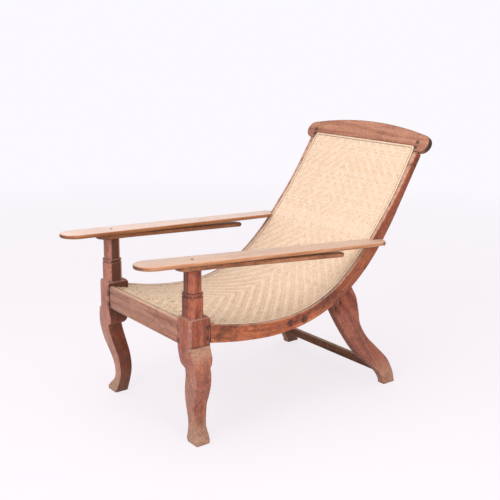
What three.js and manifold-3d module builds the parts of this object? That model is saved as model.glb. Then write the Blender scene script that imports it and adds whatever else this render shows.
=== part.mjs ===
// A planters chair: a low reclining armchair of dark reddish hardwood with a woven cane mat,
// two long flat arms, and under each arm a leg rest that swings out to the front.
// Millimetres, +Z up. The chair faces -Y, and +X is on the sitter's left.
// The front feet start at Y 0 while the pieces are made. The whole chair is centred at the end.

import * as THREE from 'three';
import { mergeVertices } from 'three/addons/utils/BufferGeometryUtils.js';
import Module from 'manifold-3d';

const wasm = await Module();
wasm.setup();

// Working allowances
const fit = 0.3;                 // gap between two pieces that meet
const overrun = 20;              // how far a cut runs past the wood
const pegSides = 12;

// Heights that the rest follows
const seatHeight = 430;          // top of the front rail
const seatDip = 82;              // from there down to the middle of the side rails at their lowest
const armRise = 206;             // from there up to the arms, at the pivot

// Side frames: each J-shaped rail and its rear leg are sawn from one thickness of board
const frameHalfWidth = 299;      // middle of the chair to the outer face of a side board
const boardThickness = 33;
const railRun = 964;             // length of a rail's centre line, front to back
const railRise = 554;            // from its lowest point to its top end
const railDepth = 63;            // deepest place, at the front end
// Along the rail: run, rise and depth
const railShares = [
  [-0.03, 0.078, 1], [0.144, 0.02, 0.873], [0.302, 0, 0.81], [0.458, 0.034, 0.746],
  [0.598, 0.137, 0.785], [0.72, 0.307, 0.841], [0.822, 0.518, 0.746], [0.907, 0.733, 0.524],
  [1, 1, 0.429],
];
const railSteps = 44;

// Tenons
const tenonThickness = 11;
const railTenonLength = 30;
const railTenonHeight = 52;
const apronTenonLength = 24;
const apronTenonHeight = 54;
const crestTenonLength = 44;
const crestTenonWidth = 22;
const crestTenonThickness = 9;
const stretcherTenonLength = 16;

// Front legs: a square block with a cabriole leg below it and a two-stage post above it
const blockWidth = 70;
const blockDepth = 84.5;
const blockFront = -28;
const blockRise = 18;            // above the front rail
const blockHeight = 98;
const shoulderRadius = 14;
const arrisChamfer = 10;
const arrisPast = 12;            // the arris's chamfer runs out this far below the block
// Leg outlines below the block. Across: shares of the block's width from its outer face,
// or of its depth from its front face. Up: shares of the height of the block's underside.
const legOuterShares = [
  [0.03, 0.04], [-0.13, 0.086], [-0.37, 0.137], [-0.455, 0.22], [-0.37, 0.36], [-0.1, 0.475],
  [0.18, 0.6], [0.32, 0.71], [0.33, 0.79], [0.25, 0.86], [0.09, 0.935], [0, 0.98],
];
const legInnerShares = [
  [-0.86, 0.04], [-0.93, 0.12], [-1.05, 0.24], [-1.09, 0.33], [-1.03, 0.457], [-0.82, 0.59],
  [-0.63, 0.7], [-0.59, 0.775],
];
const innerEarShares = [[-0.76, 0.79], [-0.92, 0.81], [-1, 0.86]];
const legFrontShares = [
  [0.325, 0.04], [0.41, 0.1], [0.475, 0.19], [0.46, 0.29], [0.36, 0.44], [0.24, 0.58],
  [0.15, 0.72], [0.09, 0.84], [0.025, 0.93], [0, 0.985],
];
const legRearShares = [
  [0.945, 0.04], [1.02, 0.15], [1.045, 0.28], [0.99, 0.45], [0.9, 0.62], [0.84, 0.73], [0.8, 0.785],
];
const rearEarShares = [[0.83, 0.805], [0.9, 0.83], [0.97, 0.885]];
const footInnerShare = -0.77;
const curveSteps = 22;
const earSteps = 5;

// Post above the block
const postInset = 35.7;          // from the block's outer face to the post's middle, the pivot
const postSetback = 37.5;        // from the block's front face
const collarRise = 79;           // above the block
const collarLip = 8;
const collarGroove = 5;
const grooveDepth = 2;
const lowerPostHalf = 30;
const upperPostHalf = 26;
const postChamfer = 12.5;

// Front rail (apron) between the blocks
const apronSetback = 4;
const apronThickness = 32;
const apronHeight = 81;
const apronBead = 15;            // width of the raised bead in front of the mat
const beadRadius = 5;

// Rear legs under the rails
const rearLegStartShare = 0.5347;  // where the leg's front edge meets the rail, along its run
const rearLegRun = 374;
const rearLegSeat = 119.7;       // length of the seat that the rail gives the leg
const rearLegLean = 1.1;         // degrees outward from top to foot
const rearLegPlumb = 38;         // below its top the leg is in line with the rail
// Front and rear edges: shares of the run from the start, and of the rise
const rearLegFrontShares = [
  [0.02, 0.92], [0.1, 0.795], [0.168, 0.697], [0.247, 0.593], [0.338, 0.484], [0.41, 0.405],
  [0.503, 0.32], [0.625, 0.237], [0.732, 0.157], [0.805, 0.083], [0.838, 0.03],
];
const rearLegBackShares = [
  [1, 0], [0.98, 0.08], [0.94, 0.157], [0.874, 0.249], [0.762, 0.346], [0.607, 0.471],
  [0.545, 0.53], [0.487, 0.603], [0.45, 0.672], [0.437, 0.74], [0.42, 0.81], [0.392, 0.9],
  [0.335, 0.985], [0.3, 1.03],
];
const rearFootToeShare = 0.844;

// Rear stretcher between the rear legs
const stretcherShare = 0.797;    // its front face, as a share of the leg's run
const stretcherThickness = 19;
const stretcherBottom = 51;
const stretcherHeight = 32;

// Hidden rail under the lowest part of the seat
const seatRailMiddle = 430;
const seatRailWidth = 92;
const seatRailThickness = 24;
const seatDowelSpacing = 64;

// Arms: long flat tongues that splay outward and slope down to the rear
const armThickness = 15;
const armSplay = 3.7;            // degrees
const armSlope = 2.7;            // degrees
const armFrontReach = 205;
const armBeforeRail = 2;         // its rear end, in front of where its top meets the rail's middle
const armFrontHalf = 47;
const armRearHalf = 38;
const armNose = 58;
const armTail = 44;
const armTailShare = 0.77;       // its rear end is thinned from below to this share
const armTailRun = 100;          // length of the thinned end
const armEdge = 4;

// Leg rests: narrower boards on the same pivots, folded back under the arms
const restThickness = 17;
const restFrontReach = 60;
const restRearReach = 626;
const restFrontHalf = 35;
const restRearHalf = 24;
const restEndThickness = 14;
const restDrop = 12;             // how much lower the swinging end hangs
const restFlat = 62;             // full thickness as far as this from the pivot

// Pivot pins
const pinRadius = 4.5;
const pinDepth = 48;             // into the post
const pinProud = 0.6;

// Crest rail
const crestOverhang = 37;        // past the side rails, at each end
const crestHeight = 79;          // above the mat's top edge, in the middle
const crestDrop = 23;            // how far the lobes reach below the mat's top edge
const crestThickness = 24;
const crestProud = 3;
const crestEdge = 4;
const lobeRadius = 35;
const lobeTurn = 12;             // degrees from level where a lobe runs into the arched top

// Woven mat and its bindings
const matThickness = 3;
const matLap = 17;               // how far the mat lies on each rail
const matCorner = 13;            // width of its round top corners
const matNarrowing = 7;          // over the top of the back
const matNarrowingRun = 95;
const matFrontRise = 2;          // the mat's front edge is this far under the apron's bead
const matSteps = 60;
const cornerSteps = 6;
const bindingWidth = 6;
const bindingHeight = 2.4;
const bindingInset = 0.5;
const railEdgeSamples = 12;      // places on the rail that the mat's line goes through

// Pegs and nails
const pegRadius = 4.2;
const pegLength = 29;
const dowelRadius = 5;
const dowelReach = 24;           // into the hidden seat rail
const pegInset = 11.5;           // from the block's rear face
const pegSpacing = 38;
const crestPegs = [13, -7];      // above the mat's top edge
const crestPegLength = 21;
const armPegFromEnd = 29;
const armPegLength = 68;
const nailRadius = 2.2;
const nailHeadRadius = 4.5;
const nailHeadHeight = 2;
const nailLength = 40;
const nailTilt = 40;             // degrees inward
const nailSink = 3;
// Nail heads on the rear leg's cheek: behind the leg's start and below the rail's underside
const nailPlaces = [[42, 20], [64, 14]];

const seatLow = seatHeight - seatDip;
const railInner = frameHalfWidth - boardThickness;
const blockRear = blockFront + blockDepth;
const blockInner = frameHalfWidth - blockWidth;
const blockTop = seatHeight + blockRise;
const blockUnderside = blockTop - blockHeight;
const rearLegStart = blockRear + rearLegStartShare * railRun;
const postX = frameHalfWidth - postInset;
const postY = blockFront + postSetback;
const armTop = seatHeight + armRise;
const apronBottom = seatHeight - apronHeight;
const matHalf = railInner + matLap;
const matShoulder = matHalf - matNarrowing;
const matTopHalf = matShoulder - matCorner;
const across = new THREE.Vector3(1, 0, 0);

const woods = {
  frame: { color: 0x8f4f36, roughness: 0.55 },
  rail: { color: 0x95543a, roughness: 0.52 },
  arm: { color: 0xb3805c, roughness: 0.5 },
  rest: { color: 0x9c6340, roughness: 0.55 },
  dark: { color: 0x6b4632, roughness: 0.7 },
  peg: { color: 0x55301f, roughness: 0.6 },
  cane: { color: 0xe6c79c, roughness: 0.7 },
  binding: { color: 0xd9b98c, roughness: 0.65 },
  iron: { color: 0x3a3633, roughness: 0.55, metalness: 0.7 },
};

const chair = new THREE.Group();

function addPiece(name, geometry, wood) {
  const mesh = new THREE.Mesh(geometry, new THREE.MeshStandardMaterial(woods[wood]));
  mesh.name = name;
  chair.add(mesh);
  return mesh;
}

// The same piece on the sitter's right: X is turned round and each triangle with it
function mirrored(geometry) {
  const copy = geometry.index ? geometry.toNonIndexed() : geometry.clone();
  const { position } = copy.attributes;
  for (let i = 0; i < position.count; i += 3) {
    for (let corner = 0; corner < 3; corner += 1) position.setX(i + corner, -position.getX(i + corner));
    const [x, y, z] = [position.getX(i + 1), position.getY(i + 1), position.getZ(i + 1)];
    position.setXYZ(i + 1, position.getX(i + 2), position.getY(i + 2), position.getZ(i + 2));
    position.setXYZ(i + 2, x, y, z);
  }
  copy.computeVertexNormals();
  return copy;
}

function addPair(name, geometry, wood) {
  addPiece(`${name}_left`, geometry, wood);
  addPiece(`${name}_right`, mirrored(geometry), wood);
}

function toSolid(geometry) {
  const bare = geometry.clone();
  bare.deleteAttribute('normal');
  bare.deleteAttribute('uv');
  const merged = mergeVertices(bare, fit / 1000);
  const mesh = new wasm.Mesh({
    numProp: 3,
    vertProperties: new Float32Array(merged.attributes.position.array),
    triVerts: new Uint32Array(merged.index.array),
  });
  return new wasm.Manifold(mesh);
}

function toGeometry(solid) {
  const mesh = solid.getMesh();
  const indexed = new THREE.BufferGeometry();
  indexed.setAttribute('position', new THREE.BufferAttribute(mesh.vertProperties, 3));
  indexed.setIndex(new THREE.BufferAttribute(mesh.triVerts, 1));
  const geometry = indexed.toNonIndexed();
  geometry.computeVertexNormals();
  return geometry;
}

const cut = (solid, ...tools) => tools.reduce((left, tool) => left.subtract(tool), solid);
const joined = (solid, ...others) => others.reduce((all, other) => all.add(other), solid);

// A block between two corners
function block(low, high) {
  const size = high.map((value, i) => value - low[i]);
  const geometry = new THREE.BoxGeometry(...size);
  return geometry.translate(...low.map((value, i) => value + size[i] / 2));
}

// A side view, drawn as Y and Z, that runs across the chair from one X to another
function sideBoard(outline, from, to) {
  const shape = new THREE.Shape(outline);
  const geometry = new THREE.ExtrudeGeometry(shape, { depth: to - from, bevelEnabled: false });
  const turn = new THREE.Matrix4().set(0, 0, 1, from, 1, 0, 0, 0, 0, 1, 0, 0, 0, 0, 0, 1);
  return geometry.applyMatrix4(turn);
}

// A front view, drawn as X and Z, that runs from one Y back to another
function frontBoard(outline, from, to) {
  const shape = new THREE.Shape(outline);
  const geometry = new THREE.ExtrudeGeometry(shape, { depth: to - from, bevelEnabled: false });
  return geometry.rotateX(Math.PI / 2).translate(0, to, 0);
}

function rod(radius, length, sides = pegSides) {
  return new THREE.CylinderGeometry(radius, radius, length, sides);
}

// A rod across the chair between two X
function crossRod(radius, from, to, y, z) {
  return rod(radius, to - from).rotateZ(Math.PI / 2).translate((from + to) / 2, y, z);
}

// A smooth curve through points given as shares, in the plane of the outline
function shareCurve(shares, place, steps = curveSteps) {
  const points = shares.map(([a, b]) => new THREE.Vector2(...place(a, b)));
  return new THREE.SplineCurve(points).getPoints(steps);
}

// The rail's centre line, with its depth as the third coordinate
const railLine = new THREE.CatmullRomCurve3(railShares.map(([run, rise, depth]) => new THREE.Vector3(
  blockRear + run * railRun,
  seatLow + rise * railRise,
  depth * railDepth,
)));

// A place on the rail's line, and the same place moved up to its top or down to its under edge
function railPlace(share) {
  const centre = railLine.getPoint(share);
  const along = railLine.getTangent(share);
  const tangent = new THREE.Vector2(along.x, along.y).normalize();
  const up = new THREE.Vector2(-tangent.y, tangent.x);
  const middle = new THREE.Vector2(centre.x, centre.y);
  const edge = (side, grow) => middle.clone().addScaledVector(up, side * (centre.z / 2 + grow));
  return { middle, tangent, up, edge };
}

const railPlaces = Array.from({ length: railSteps + 1 }, (_, i) => railPlace(i / railSteps));

function railOutline(grow = 0) {
  const top = railPlaces.map((place) => place.edge(1, grow));
  const under = railPlaces.map((place) => place.edge(-1, grow));
  return [...top, ...under.reverse()];
}

// The height of the rail's middle (side 0) or underside (side -1) at a distance from the front
function railHeightAt(y, side) {
  const line = railPlaces.map((place) => (side === 0 ? place.middle : place.edge(side, 0)));
  const next = line.findIndex((point) => point.x > y);
  const share = (y - line[next - 1].x) / (line[next].x - line[next - 1].x);
  return THREE.MathUtils.lerp(line[next - 1].y, line[next].y, share);
}
const seatRailHeight = railHeightAt(seatRailMiddle, 0);

// The back leans along the rail's top end. Crest pieces are made flat and then laid on it.
const railEnd = railPlace(1);
const backFrame = new THREE.Matrix4().makeBasis(
  across,
  new THREE.Vector3(0, railEnd.tangent.x, railEnd.tangent.y),
  new THREE.Vector3(0, railEnd.up.x, railEnd.up.y),
);
const crestFoot = railEnd.edge(1, 0).addScaledVector(railEnd.tangent, crestDrop + fit);
backFrame.setPosition(0, crestFoot.x, crestFoot.y);

// The arms slope down to the rear from the pivot until they meet the rails
const splay = THREE.MathUtils.degToRad(armSplay);
const slope = THREE.MathUtils.degToRad(armSlope);
const armMeeting = railPlaces.map((place) => place.middle)
  .find((point) => point.y > armTop - Math.tan(slope) * (point.x - postY));
const armRearReach = (armMeeting.x - postY) / Math.cos(splay) - armBeforeRail;

// Arms are made flat, with the pivot at the origin and their top at zero, and then laid in place
const armFrame = new THREE.Matrix4().makeTranslation(postX, postY, armTop)
  .multiply(new THREE.Matrix4().makeRotationZ(-splay))
  .multiply(new THREE.Matrix4().makeRotationX(-slope));

// The mat's upper face: from the apron's bead it joins the rails' top edges and follows them
const matFrontY = blockFront + apronSetback + apronBead + fit;
const railTops = Array.from({ length: railEdgeSamples + 1 }, (_, i) => (
  railPlace(i / railEdgeSamples).edge(1, 0)
));
const matLine = new THREE.SplineCurve([
  new THREE.Vector2(matFrontY, seatHeight - matFrontRise),
  ...railTops.filter((point) => point.x > blockRear),
  crestFoot.clone().addScaledVector(railEnd.tangent, -fit),
]);
const matEndY = matLine.getPoint(1).x;

// Half the mat's width at a distance from the front: it narrows at the top and has round corners
const cornerY = matEndY - crestDrop * railEnd.tangent.x;
function matHalfAt(y) {
  const narrowing = matNarrowing * THREE.MathUtils.clamp(1 - (cornerY - y) / matNarrowingRun, 0, 1);
  const corner = THREE.MathUtils.clamp((y - cornerY) / (matEndY - cornerY), 0, 1);
  return matHalf - narrowing - matCorner * (1 - Math.sqrt(1 - corner * corner));
}

// Shares of the mat's length, closer together where its corners are round
const matLength = matLine.getLength();
const cornerShare = 1 - (crestDrop + fit) / matLength;
const matShares = [
  ...Array.from({ length: matSteps }, (_, i) => cornerShare * i / matSteps),
  ...Array.from({ length: cornerSteps + 1 }, (_, i) => (
    cornerShare + (1 - cornerShare) * Math.sin(Math.PI / 2 * i / cornerSteps)
  )),
];

// A solid through a row of rings, each with its points in the same order
function loft(rings) {
  const sides = rings[0].length;
  const last = (rings.length - 1) * sides;
  const index = [];
  for (let start = 0; start < last; start += sides) {
    for (let side = 0; side < sides; side += 1) {
      const a = start + side;
      const b = start + (side + 1) % sides;
      index.push(a, b, b + sides, a, b + sides, a + sides);
    }
  }
  for (let side = 1; side + 1 < sides; side += 1) {
    index.push(0, side + 1, side, last, last + side, last + side + 1);
  }
  const indexed = new THREE.BufferGeometry().setFromPoints(rings.flat());
  indexed.setIndex(index);
  const geometry = indexed.toNonIndexed();
  geometry.computeVertexNormals();
  return geometry;
}

// A band that follows the mat's line between two heights over its upper face, from one share
// of its length to another, with both ends drawn out by a lead. Its sides are functions of Y.
function seatBand(low, high, inner, outer, { from = 0, to = 1, lead = 0 } = {}) {
  const shares = [from, ...matShares.filter((share) => share > from && share < to), to];
  return loft(shares.map((share, i) => {
    const point = matLine.getPointAt(share);
    const tangent = matLine.getTangentAt(share);
    const normal = new THREE.Vector2(-tangent.y, tangent.x);
    const along = i === 0 ? -lead : i === shares.length - 1 ? lead : 0;
    const at = (side, height) => {
      const place = point.clone().addScaledVector(tangent, along).addScaledVector(normal, height);
      return new THREE.Vector3(side(point.x), place.x, place.y);
    };
    return [at(inner, low), at(inner, high), at(outer, high), at(outer, low)];
  }));
}

// The space that the mat and its bindings take, and the rebate that is cut for them
const bindingTop = fit + bindingHeight;
function matRoom(high) {
  const outer = (y) => matHalfAt(y) + fit;
  return toSolid(seatBand(-matThickness - fit, high, (y) => -outer(y), outer, { lead: fit }));
}
const matSpace = matRoom(bindingTop + fit);
const matCutter = matRoom(overrun);

// Side rail
const railBoard = toSolid(sideBoard(railOutline(), railInner, frameHalfWidth));
const railCutter = toSolid(sideBoard(railOutline(fit), railInner - fit, frameHalfWidth + fit));
const boardMiddle = (railInner + frameHalfWidth) / 2;

// The rail's front tenon, by how much larger it is for the mortise
function railTenon(grow) {
  const middle = railLine.getPoint(0).y;
  const half = railTenonHeight / 2 + grow;
  const thick = tenonThickness / 2 + grow;
  const rear = blockRear + fit + overrun;
  return toSolid(block(
    [boardMiddle - thick, blockRear - railTenonLength - grow, middle - half],
    [boardMiddle + thick, rear, middle + half],
  ));
}

// The rail's top tenon, made in the frame of the back
function crestTenon(grow) {
  const half = crestTenonWidth / 2 + grow;
  const middle = crestProud - crestThickness / 2;
  const thick = crestTenonThickness / 2 + grow;
  const start = -crestDrop - overrun;
  const tenon = block(
    [boardMiddle - half, start, middle - thick],
    [boardMiddle + half, -crestDrop + crestTenonLength + grow, middle + thick],
  );
  return toSolid(tenon.applyMatrix4(backFrame));
}

const pegHeights = [-1, 1].map((side) => railLine.getPoint(0).y + side * pegSpacing / 2);
const pegY = blockRear - pegInset;
const blockPegBores = pegHeights.map((z) => toSolid(crossRod(
  pegRadius + fit, frameHalfWidth - pegLength - fit, frameHalfWidth + overrun, pegY, z,
)));
const crestPegBores = crestPegs.map((up) => {
  const bore = rod(pegRadius + fit, crestPegLength + overrun + fit).rotateX(Math.PI / 2);
  bore.translate(boardMiddle, up, crestProud + (overrun - crestPegLength - fit) / 2);
  return toSolid(bore.applyMatrix4(backFrame));
});
const dowelPlaces = [-1, 1].map((side) => seatRailMiddle + side * seatDowelSpacing / 2);
const dowelBores = dowelPlaces.map((y) => toSolid(crossRod(
  dowelRadius + fit, railInner - dowelReach - fit, frameHalfWidth + overrun, y, seatRailHeight,
)));

// A nail with a flat head, point up, its head's top face at the origin
function nailGeometry(grow) {
  const head = nailHeadRadius + grow;
  const shank = nailRadius + grow;
  const outline = [
    [0, nailLength + grow], [shank, nailLength + grow], [shank, nailHeadHeight + grow],
    [head, nailHeadHeight + grow], [head, grow > 0 ? -overrun : 0], [0, grow > 0 ? -overrun : 0],
  ];
  const points = outline.reverse().map(([r, h]) => new THREE.Vector2(r, h));
  return new THREE.LatheGeometry(points, pegSides).rotateX(Math.PI / 2);
}

const nailFrames = nailPlaces.map(([back, down]) => {
  const y = rearLegStart + back;
  const frame = new THREE.Matrix4().makeTranslation(frameHalfWidth - nailSink, y, railHeightAt(y, -1) - down);
  return frame.multiply(new THREE.Matrix4().makeRotationY(THREE.MathUtils.degToRad(-nailTilt)));
});

// Armrest, notched round the rail, with a bore for the pin
function tongue(front, rear, frontHalf, rearHalf, nose, tail) {
  const shape = new THREE.Shape();
  shape.absellipse(0, nose - front, frontHalf, nose, Math.PI, 2 * Math.PI);
  shape.lineTo(rearHalf, rear - tail);
  shape.absellipse(0, rear - tail, rearHalf, tail, 0, Math.PI);
  shape.lineTo(-frontHalf, nose - front);
  return shape;
}

const armShape = tongue(armFrontReach, armRearReach, armFrontHalf, armRearHalf, armNose, armTail);
const armBlank = new THREE.ExtrudeGeometry(armShape, {
  depth: armThickness - 2 * armEdge,
  bevelThickness: armEdge,
  bevelSize: armEdge,
  bevelOffset: -armEdge,
  bevelSegments: 2,
  curveSegments: 14,
}).translate(0, 0, armEdge - armThickness).applyMatrix4(armFrame);

const pinLength = armThickness + restThickness + 3 * fit + pinDepth;

// The bore for the pin through the arm, the leg rest and into the post
function pinBore() {
  const bore = rod(pinRadius + fit, pinLength + overrun + fit, pegSides).rotateX(Math.PI / 2);
  bore.translate(0, 0, (overrun - pinLength - fit) / 2);
  return toSolid(bore.applyMatrix4(armFrame));
}
const pivotBore = pinBore();

// A peg lies across each arm's rear end and holds it to the rail
function armPeg(radius, inner, outer) {
  const peg = rod(radius, outer - inner).rotateZ(Math.PI / 2);
  const share = THREE.MathUtils.lerp(armTailShare, 1, armPegFromEnd / armTailRun);
  const place = [(inner + outer) / 2, armRearReach - armPegFromEnd, -share * armThickness / 2];
  return peg.translate(...place).applyMatrix4(armFrame);
}
const pegPastStraight = Math.max(0, armTail - armPegFromEnd) / armTail;
const armPegOuter = armRearHalf * Math.sqrt(1 - pegPastStraight * pegPastStraight) - pinProud;
const armPegInner = armPegOuter - armPegLength;
const armPegBore = toSolid(armPeg(pegRadius + fit, armPegInner - fit, armRearHalf + overrun));

// What is planed off under its rear end
const underTail = sideBoard([
  [armRearReach - armTailRun, -armThickness], [armRearReach, -armTailShare * armThickness],
  [armRearReach + overrun, -armTailShare * armThickness],
  [armRearReach + overrun, -armThickness - overrun],
  [armRearReach - armTailRun, -armThickness - overrun],
].map(([along, up]) => new THREE.Vector2(along, up)), -armFrontHalf, armFrontHalf);
const tailCut = toSolid(underTail.applyMatrix4(armFrame));

const arm = cut(toSolid(armBlank), tailCut, railCutter, matSpace, pivotBore, armPegBore);
addPair('armrest', toGeometry(arm), 'arm');

// Leg rest: its outline from above and its outline from the side, sawn out of one board
const restTop = -armThickness - fit;
const restSide = [
  [-restFrontReach - overrun, restTop], [restFlat, restTop],
  [restRearReach + overrun, restTop - restDrop - (restThickness - restEndThickness)],
  [restRearReach + overrun, restTop - restThickness - restDrop],
  [restFlat, restTop - restThickness], [-restFrontReach - overrun, restTop - restThickness],
].map(([along, up]) => new THREE.Vector2(along, up));
const restShape = tongue(
  restFrontReach, restRearReach, restFrontHalf, restRearHalf, restFrontHalf, restRearHalf,
);
const restPlan = new THREE.ExtrudeGeometry(restShape, {
  depth: 2 * (restThickness + overrun),
  bevelEnabled: false,
  curveSegments: 14,
}).translate(0, 0, restTop - restThickness - restDrop - overrun);
const restHalf = restFrontHalf + overrun;
const restBlank = toSolid(restPlan.applyMatrix4(armFrame))
  .intersect(toSolid(sideBoard(restSide, -restHalf, restHalf).applyMatrix4(armFrame)));
addPair('leg_rest', toGeometry(cut(restBlank, pivotBore)), 'rest');

// The pin stands a little proud of the arm
const pin = rod(pinRadius, pinLength + pinProud).rotateX(Math.PI / 2);
addPair('pivot_pin', pin.translate(0, 0, (pinProud - pinLength) / 2).applyMatrix4(armFrame), 'iron');

// Front leg: the front view and the side view are sawn one after the other from one post
function shouldered(from, to, top) {
  const arc = new THREE.Path();
  arc.absarc(to - shoulderRadius, top - shoulderRadius, shoulderRadius, 0, Math.PI / 2);
  const shoulder = arc.getPoints(earSteps);
  const other = shoulder.map((point) => new THREE.Vector2(from + to - point.x, point.y));
  return [...shoulder, ...other.reverse()];
}
const legAcross = (share, up) => [frameHalfWidth + share * blockWidth, up * blockUnderside];
const legDeep = (share, up) => [blockFront + share * blockDepth, up * blockUnderside];
const legFrontView = [
  new THREE.Vector2(...legAcross(footInnerShare, 0)),
  new THREE.Vector2(...legAcross(legOuterShares[0][0], 0)),
  ...shareCurve(legOuterShares, legAcross),
  ...shouldered(blockInner, frameHalfWidth, blockTop),
  ...shareCurve([...innerEarShares].reverse(), legAcross, earSteps),
  ...shareCurve([...legInnerShares].reverse(), legAcross),
];
const legSideView = [
  new THREE.Vector2(...legDeep(legFrontShares[0][0], 0)),
  new THREE.Vector2(...legDeep(legRearShares[0][0], 0)),
  ...shareCurve(legRearShares, legDeep),
  ...shareCurve(rearEarShares, legDeep, earSteps),
  ...shouldered(blockFront, blockRear, blockTop),
  ...shareCurve([...legFrontShares].reverse(), legDeep),
];
const legBlank = toSolid(frontBoard(legFrontView, blockFront - overrun, blockRear + overrun))
  .intersect(toSolid(sideBoard(legSideView, blockInner - blockWidth, frameHalfWidth + blockWidth)));

// The chamfer on the block's outer front arris
const chamferCut = block(
  [-arrisChamfer / Math.SQRT2, -arrisChamfer / Math.SQRT2, blockUnderside - arrisPast],
  [arrisChamfer / Math.SQRT2, arrisChamfer / Math.SQRT2, blockTop + overrun],
).rotateZ(Math.PI / 4).translate(frameHalfWidth, blockFront, 0);

// One stage of the post: a square with its corners cut off
function postStage(half, low, high) {
  const inner = half - postChamfer;
  const outline = [
    [half, -inner], [half, inner], [inner, half], [-inner, half],
    [-half, inner], [-half, -inner], [-inner, -half], [inner, -half],
  ].map(([x, y]) => new THREE.Vector2(postX + x, postY + y));
  const stage = new THREE.ExtrudeGeometry(new THREE.Shape(outline), {
    depth: high - low,
    bevelEnabled: false,
  });
  return toSolid(stage.translate(0, 0, low));
}
const postFoot = blockTop - shoulderRadius;
const collarTop = blockTop + collarRise;
const lipBottom = collarTop - collarLip;
const grooveBottom = lipBottom - collarGroove;
const postStages = [
  postStage(lowerPostHalf, postFoot, grooveBottom),
  postStage(lowerPostHalf - grooveDepth, postFoot, lipBottom + grooveDepth),
  postStage(lowerPostHalf, lipBottom, collarTop),
  postStage(upperPostHalf, postFoot, armTop),
];
// The post ends under the leg rest, parallel to the arm
const abovePost = toSolid(block(
  [-blockWidth, -blockDepth, restTop - restThickness - fit],
  [blockWidth, blockDepth, overrun],
).applyMatrix4(armFrame));

// The apron's tenon, by how much larger it is for the mortise in the block
function apronTenon(grow) {
  const middleY = blockFront + apronSetback + apronThickness / 2;
  const middleZ = (apronBottom + seatHeight) / 2;
  const half = apronTenonHeight / 2 + grow;
  const thick = tenonThickness / 2 + grow;
  return toSolid(block(
    [blockInner - overrun, middleY - thick, middleZ - half],
    [blockInner + apronTenonLength + grow, middleY + thick, middleZ + half],
  ));
}

const frontLeg = cut(
  joined(legBlank, ...postStages),
  toSolid(chamferCut),
  abovePost,
  pivotBore,
  railTenon(fit),
  apronTenon(fit),
  ...blockPegBores,
);
addPair('front_leg', toGeometry(frontLeg), 'frame');

// Apron with a rounded bead along its top front edge and a rebate for the mat behind the bead
const apronFront = blockFront + apronSetback;
const bead = new THREE.Path();
bead.absarc(apronFront + beadRadius, seatHeight - beadRadius, beadRadius, Math.PI, Math.PI / 2, true);
const apronHalf = blockInner - fit;
const apronBoard = toSolid(sideBoard([
  new THREE.Vector2(apronFront, apronBottom),
  ...bead.getPoints(earSteps),
  new THREE.Vector2(apronFront + apronThickness, seatHeight),
  new THREE.Vector2(apronFront + apronThickness, apronBottom),
], -apronHalf, apronHalf));
const leftTenon = apronTenon(0);
const apron = cut(joined(apronBoard, leftTenon, leftTenon.mirror([1, 0, 0])), matCutter);
addPiece('front_rail', toGeometry(apron), 'frame');

// Side rails: trimmed square at the block, with a tenon at each end
const beforeBlock = toSolid(block(
  [railInner - overrun, blockFront, 0],
  [frameHalfWidth + overrun, blockRear + fit, armTop],
));
const nailBores = nailFrames.map((frame) => toSolid(nailGeometry(fit).applyMatrix4(frame)));
const sideRail = cut(
  joined(cut(railBoard, beforeBlock), railTenon(0), crestTenon(0)),
  matCutter,
  armPegBore,
  ...blockPegBores,
  ...crestPegBores,
  ...dowelBores,
  ...nailBores,
);
addPair('side_rail', toGeometry(sideRail), 'rail');

// Rear legs: sabre shaped, seated under the rails and leaning outward to the floor
const rearLegRise = railHeightAt(rearLegStart + rearLegSeat, -1);
const rearLegPlace = (run, rise) => [rearLegStart + run * rearLegRun, rise * rearLegRise];
const rearLegOutline = [
  new THREE.Vector2(...rearLegPlace(rearFootToeShare, 0)),
  ...shareCurve(rearLegBackShares, rearLegPlace, 2 * curveSteps),
  ...shareCurve(rearLegFrontShares, rearLegPlace),
];
const lean = Math.tan(THREE.MathUtils.degToRad(rearLegLean));
const plumbHeight = rearLegRise - rearLegPlumb;
const leaning = new THREE.Matrix4().makeShear(0, 0, 0, 0, -lean, 0);
leaning.setPosition(lean * plumbHeight, 0, 0);
const rearLegBoard = sideBoard(rearLegOutline, railInner, frameHalfWidth).applyMatrix4(leaning);
const aboveRail = toSolid(sideBoard([
  ...railOutline(fit).slice(railSteps + 1),
  new THREE.Vector2(blockRear, 2 * armTop),
  new THREE.Vector2(railRun + 2 * blockRear, 2 * armTop),
], railInner - overrun, frameHalfWidth + overrun));

// Rear stretcher, with a stub tenon at each end
const stretcherFront = rearLegStart + stretcherShare * rearLegRun;
const stretcherHalfAt = (z) => railInner + lean * (plumbHeight - z) - fit;
const stretcherTop = stretcherBottom + stretcherHeight;
const stretcherBoard = toSolid(frontBoard([
  [-stretcherHalfAt(stretcherBottom), stretcherBottom],
  [stretcherHalfAt(stretcherBottom), stretcherBottom],
  [stretcherHalfAt(stretcherTop), stretcherTop],
  [-stretcherHalfAt(stretcherTop), stretcherTop],
].map(([x, z]) => new THREE.Vector2(x, z)), stretcherFront, stretcherFront + stretcherThickness));
function stretcherTenon(grow) {
  const middle = stretcherFront + stretcherThickness / 2;
  const thick = tenonThickness / 2 + grow;
  const shoulder = stretcherHeight / 6 - grow;
  return toSolid(block(
    [stretcherHalfAt(stretcherTop) - overrun, middle - thick, stretcherBottom + shoulder],
    [railInner + stretcherTenonLength + grow, middle + thick, stretcherTop - shoulder],
  ));
}
const endTenon = stretcherTenon(0);
const rearLeg = cut(toSolid(rearLegBoard), aboveRail, stretcherTenon(fit), ...nailBores);
addPair('rear_leg', toGeometry(rearLeg), 'frame');
addPiece(
  'rear_stretcher',
  toGeometry(joined(stretcherBoard, endTenon, endTenon.mirror([1, 0, 0]))),
  'dark',
);

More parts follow.
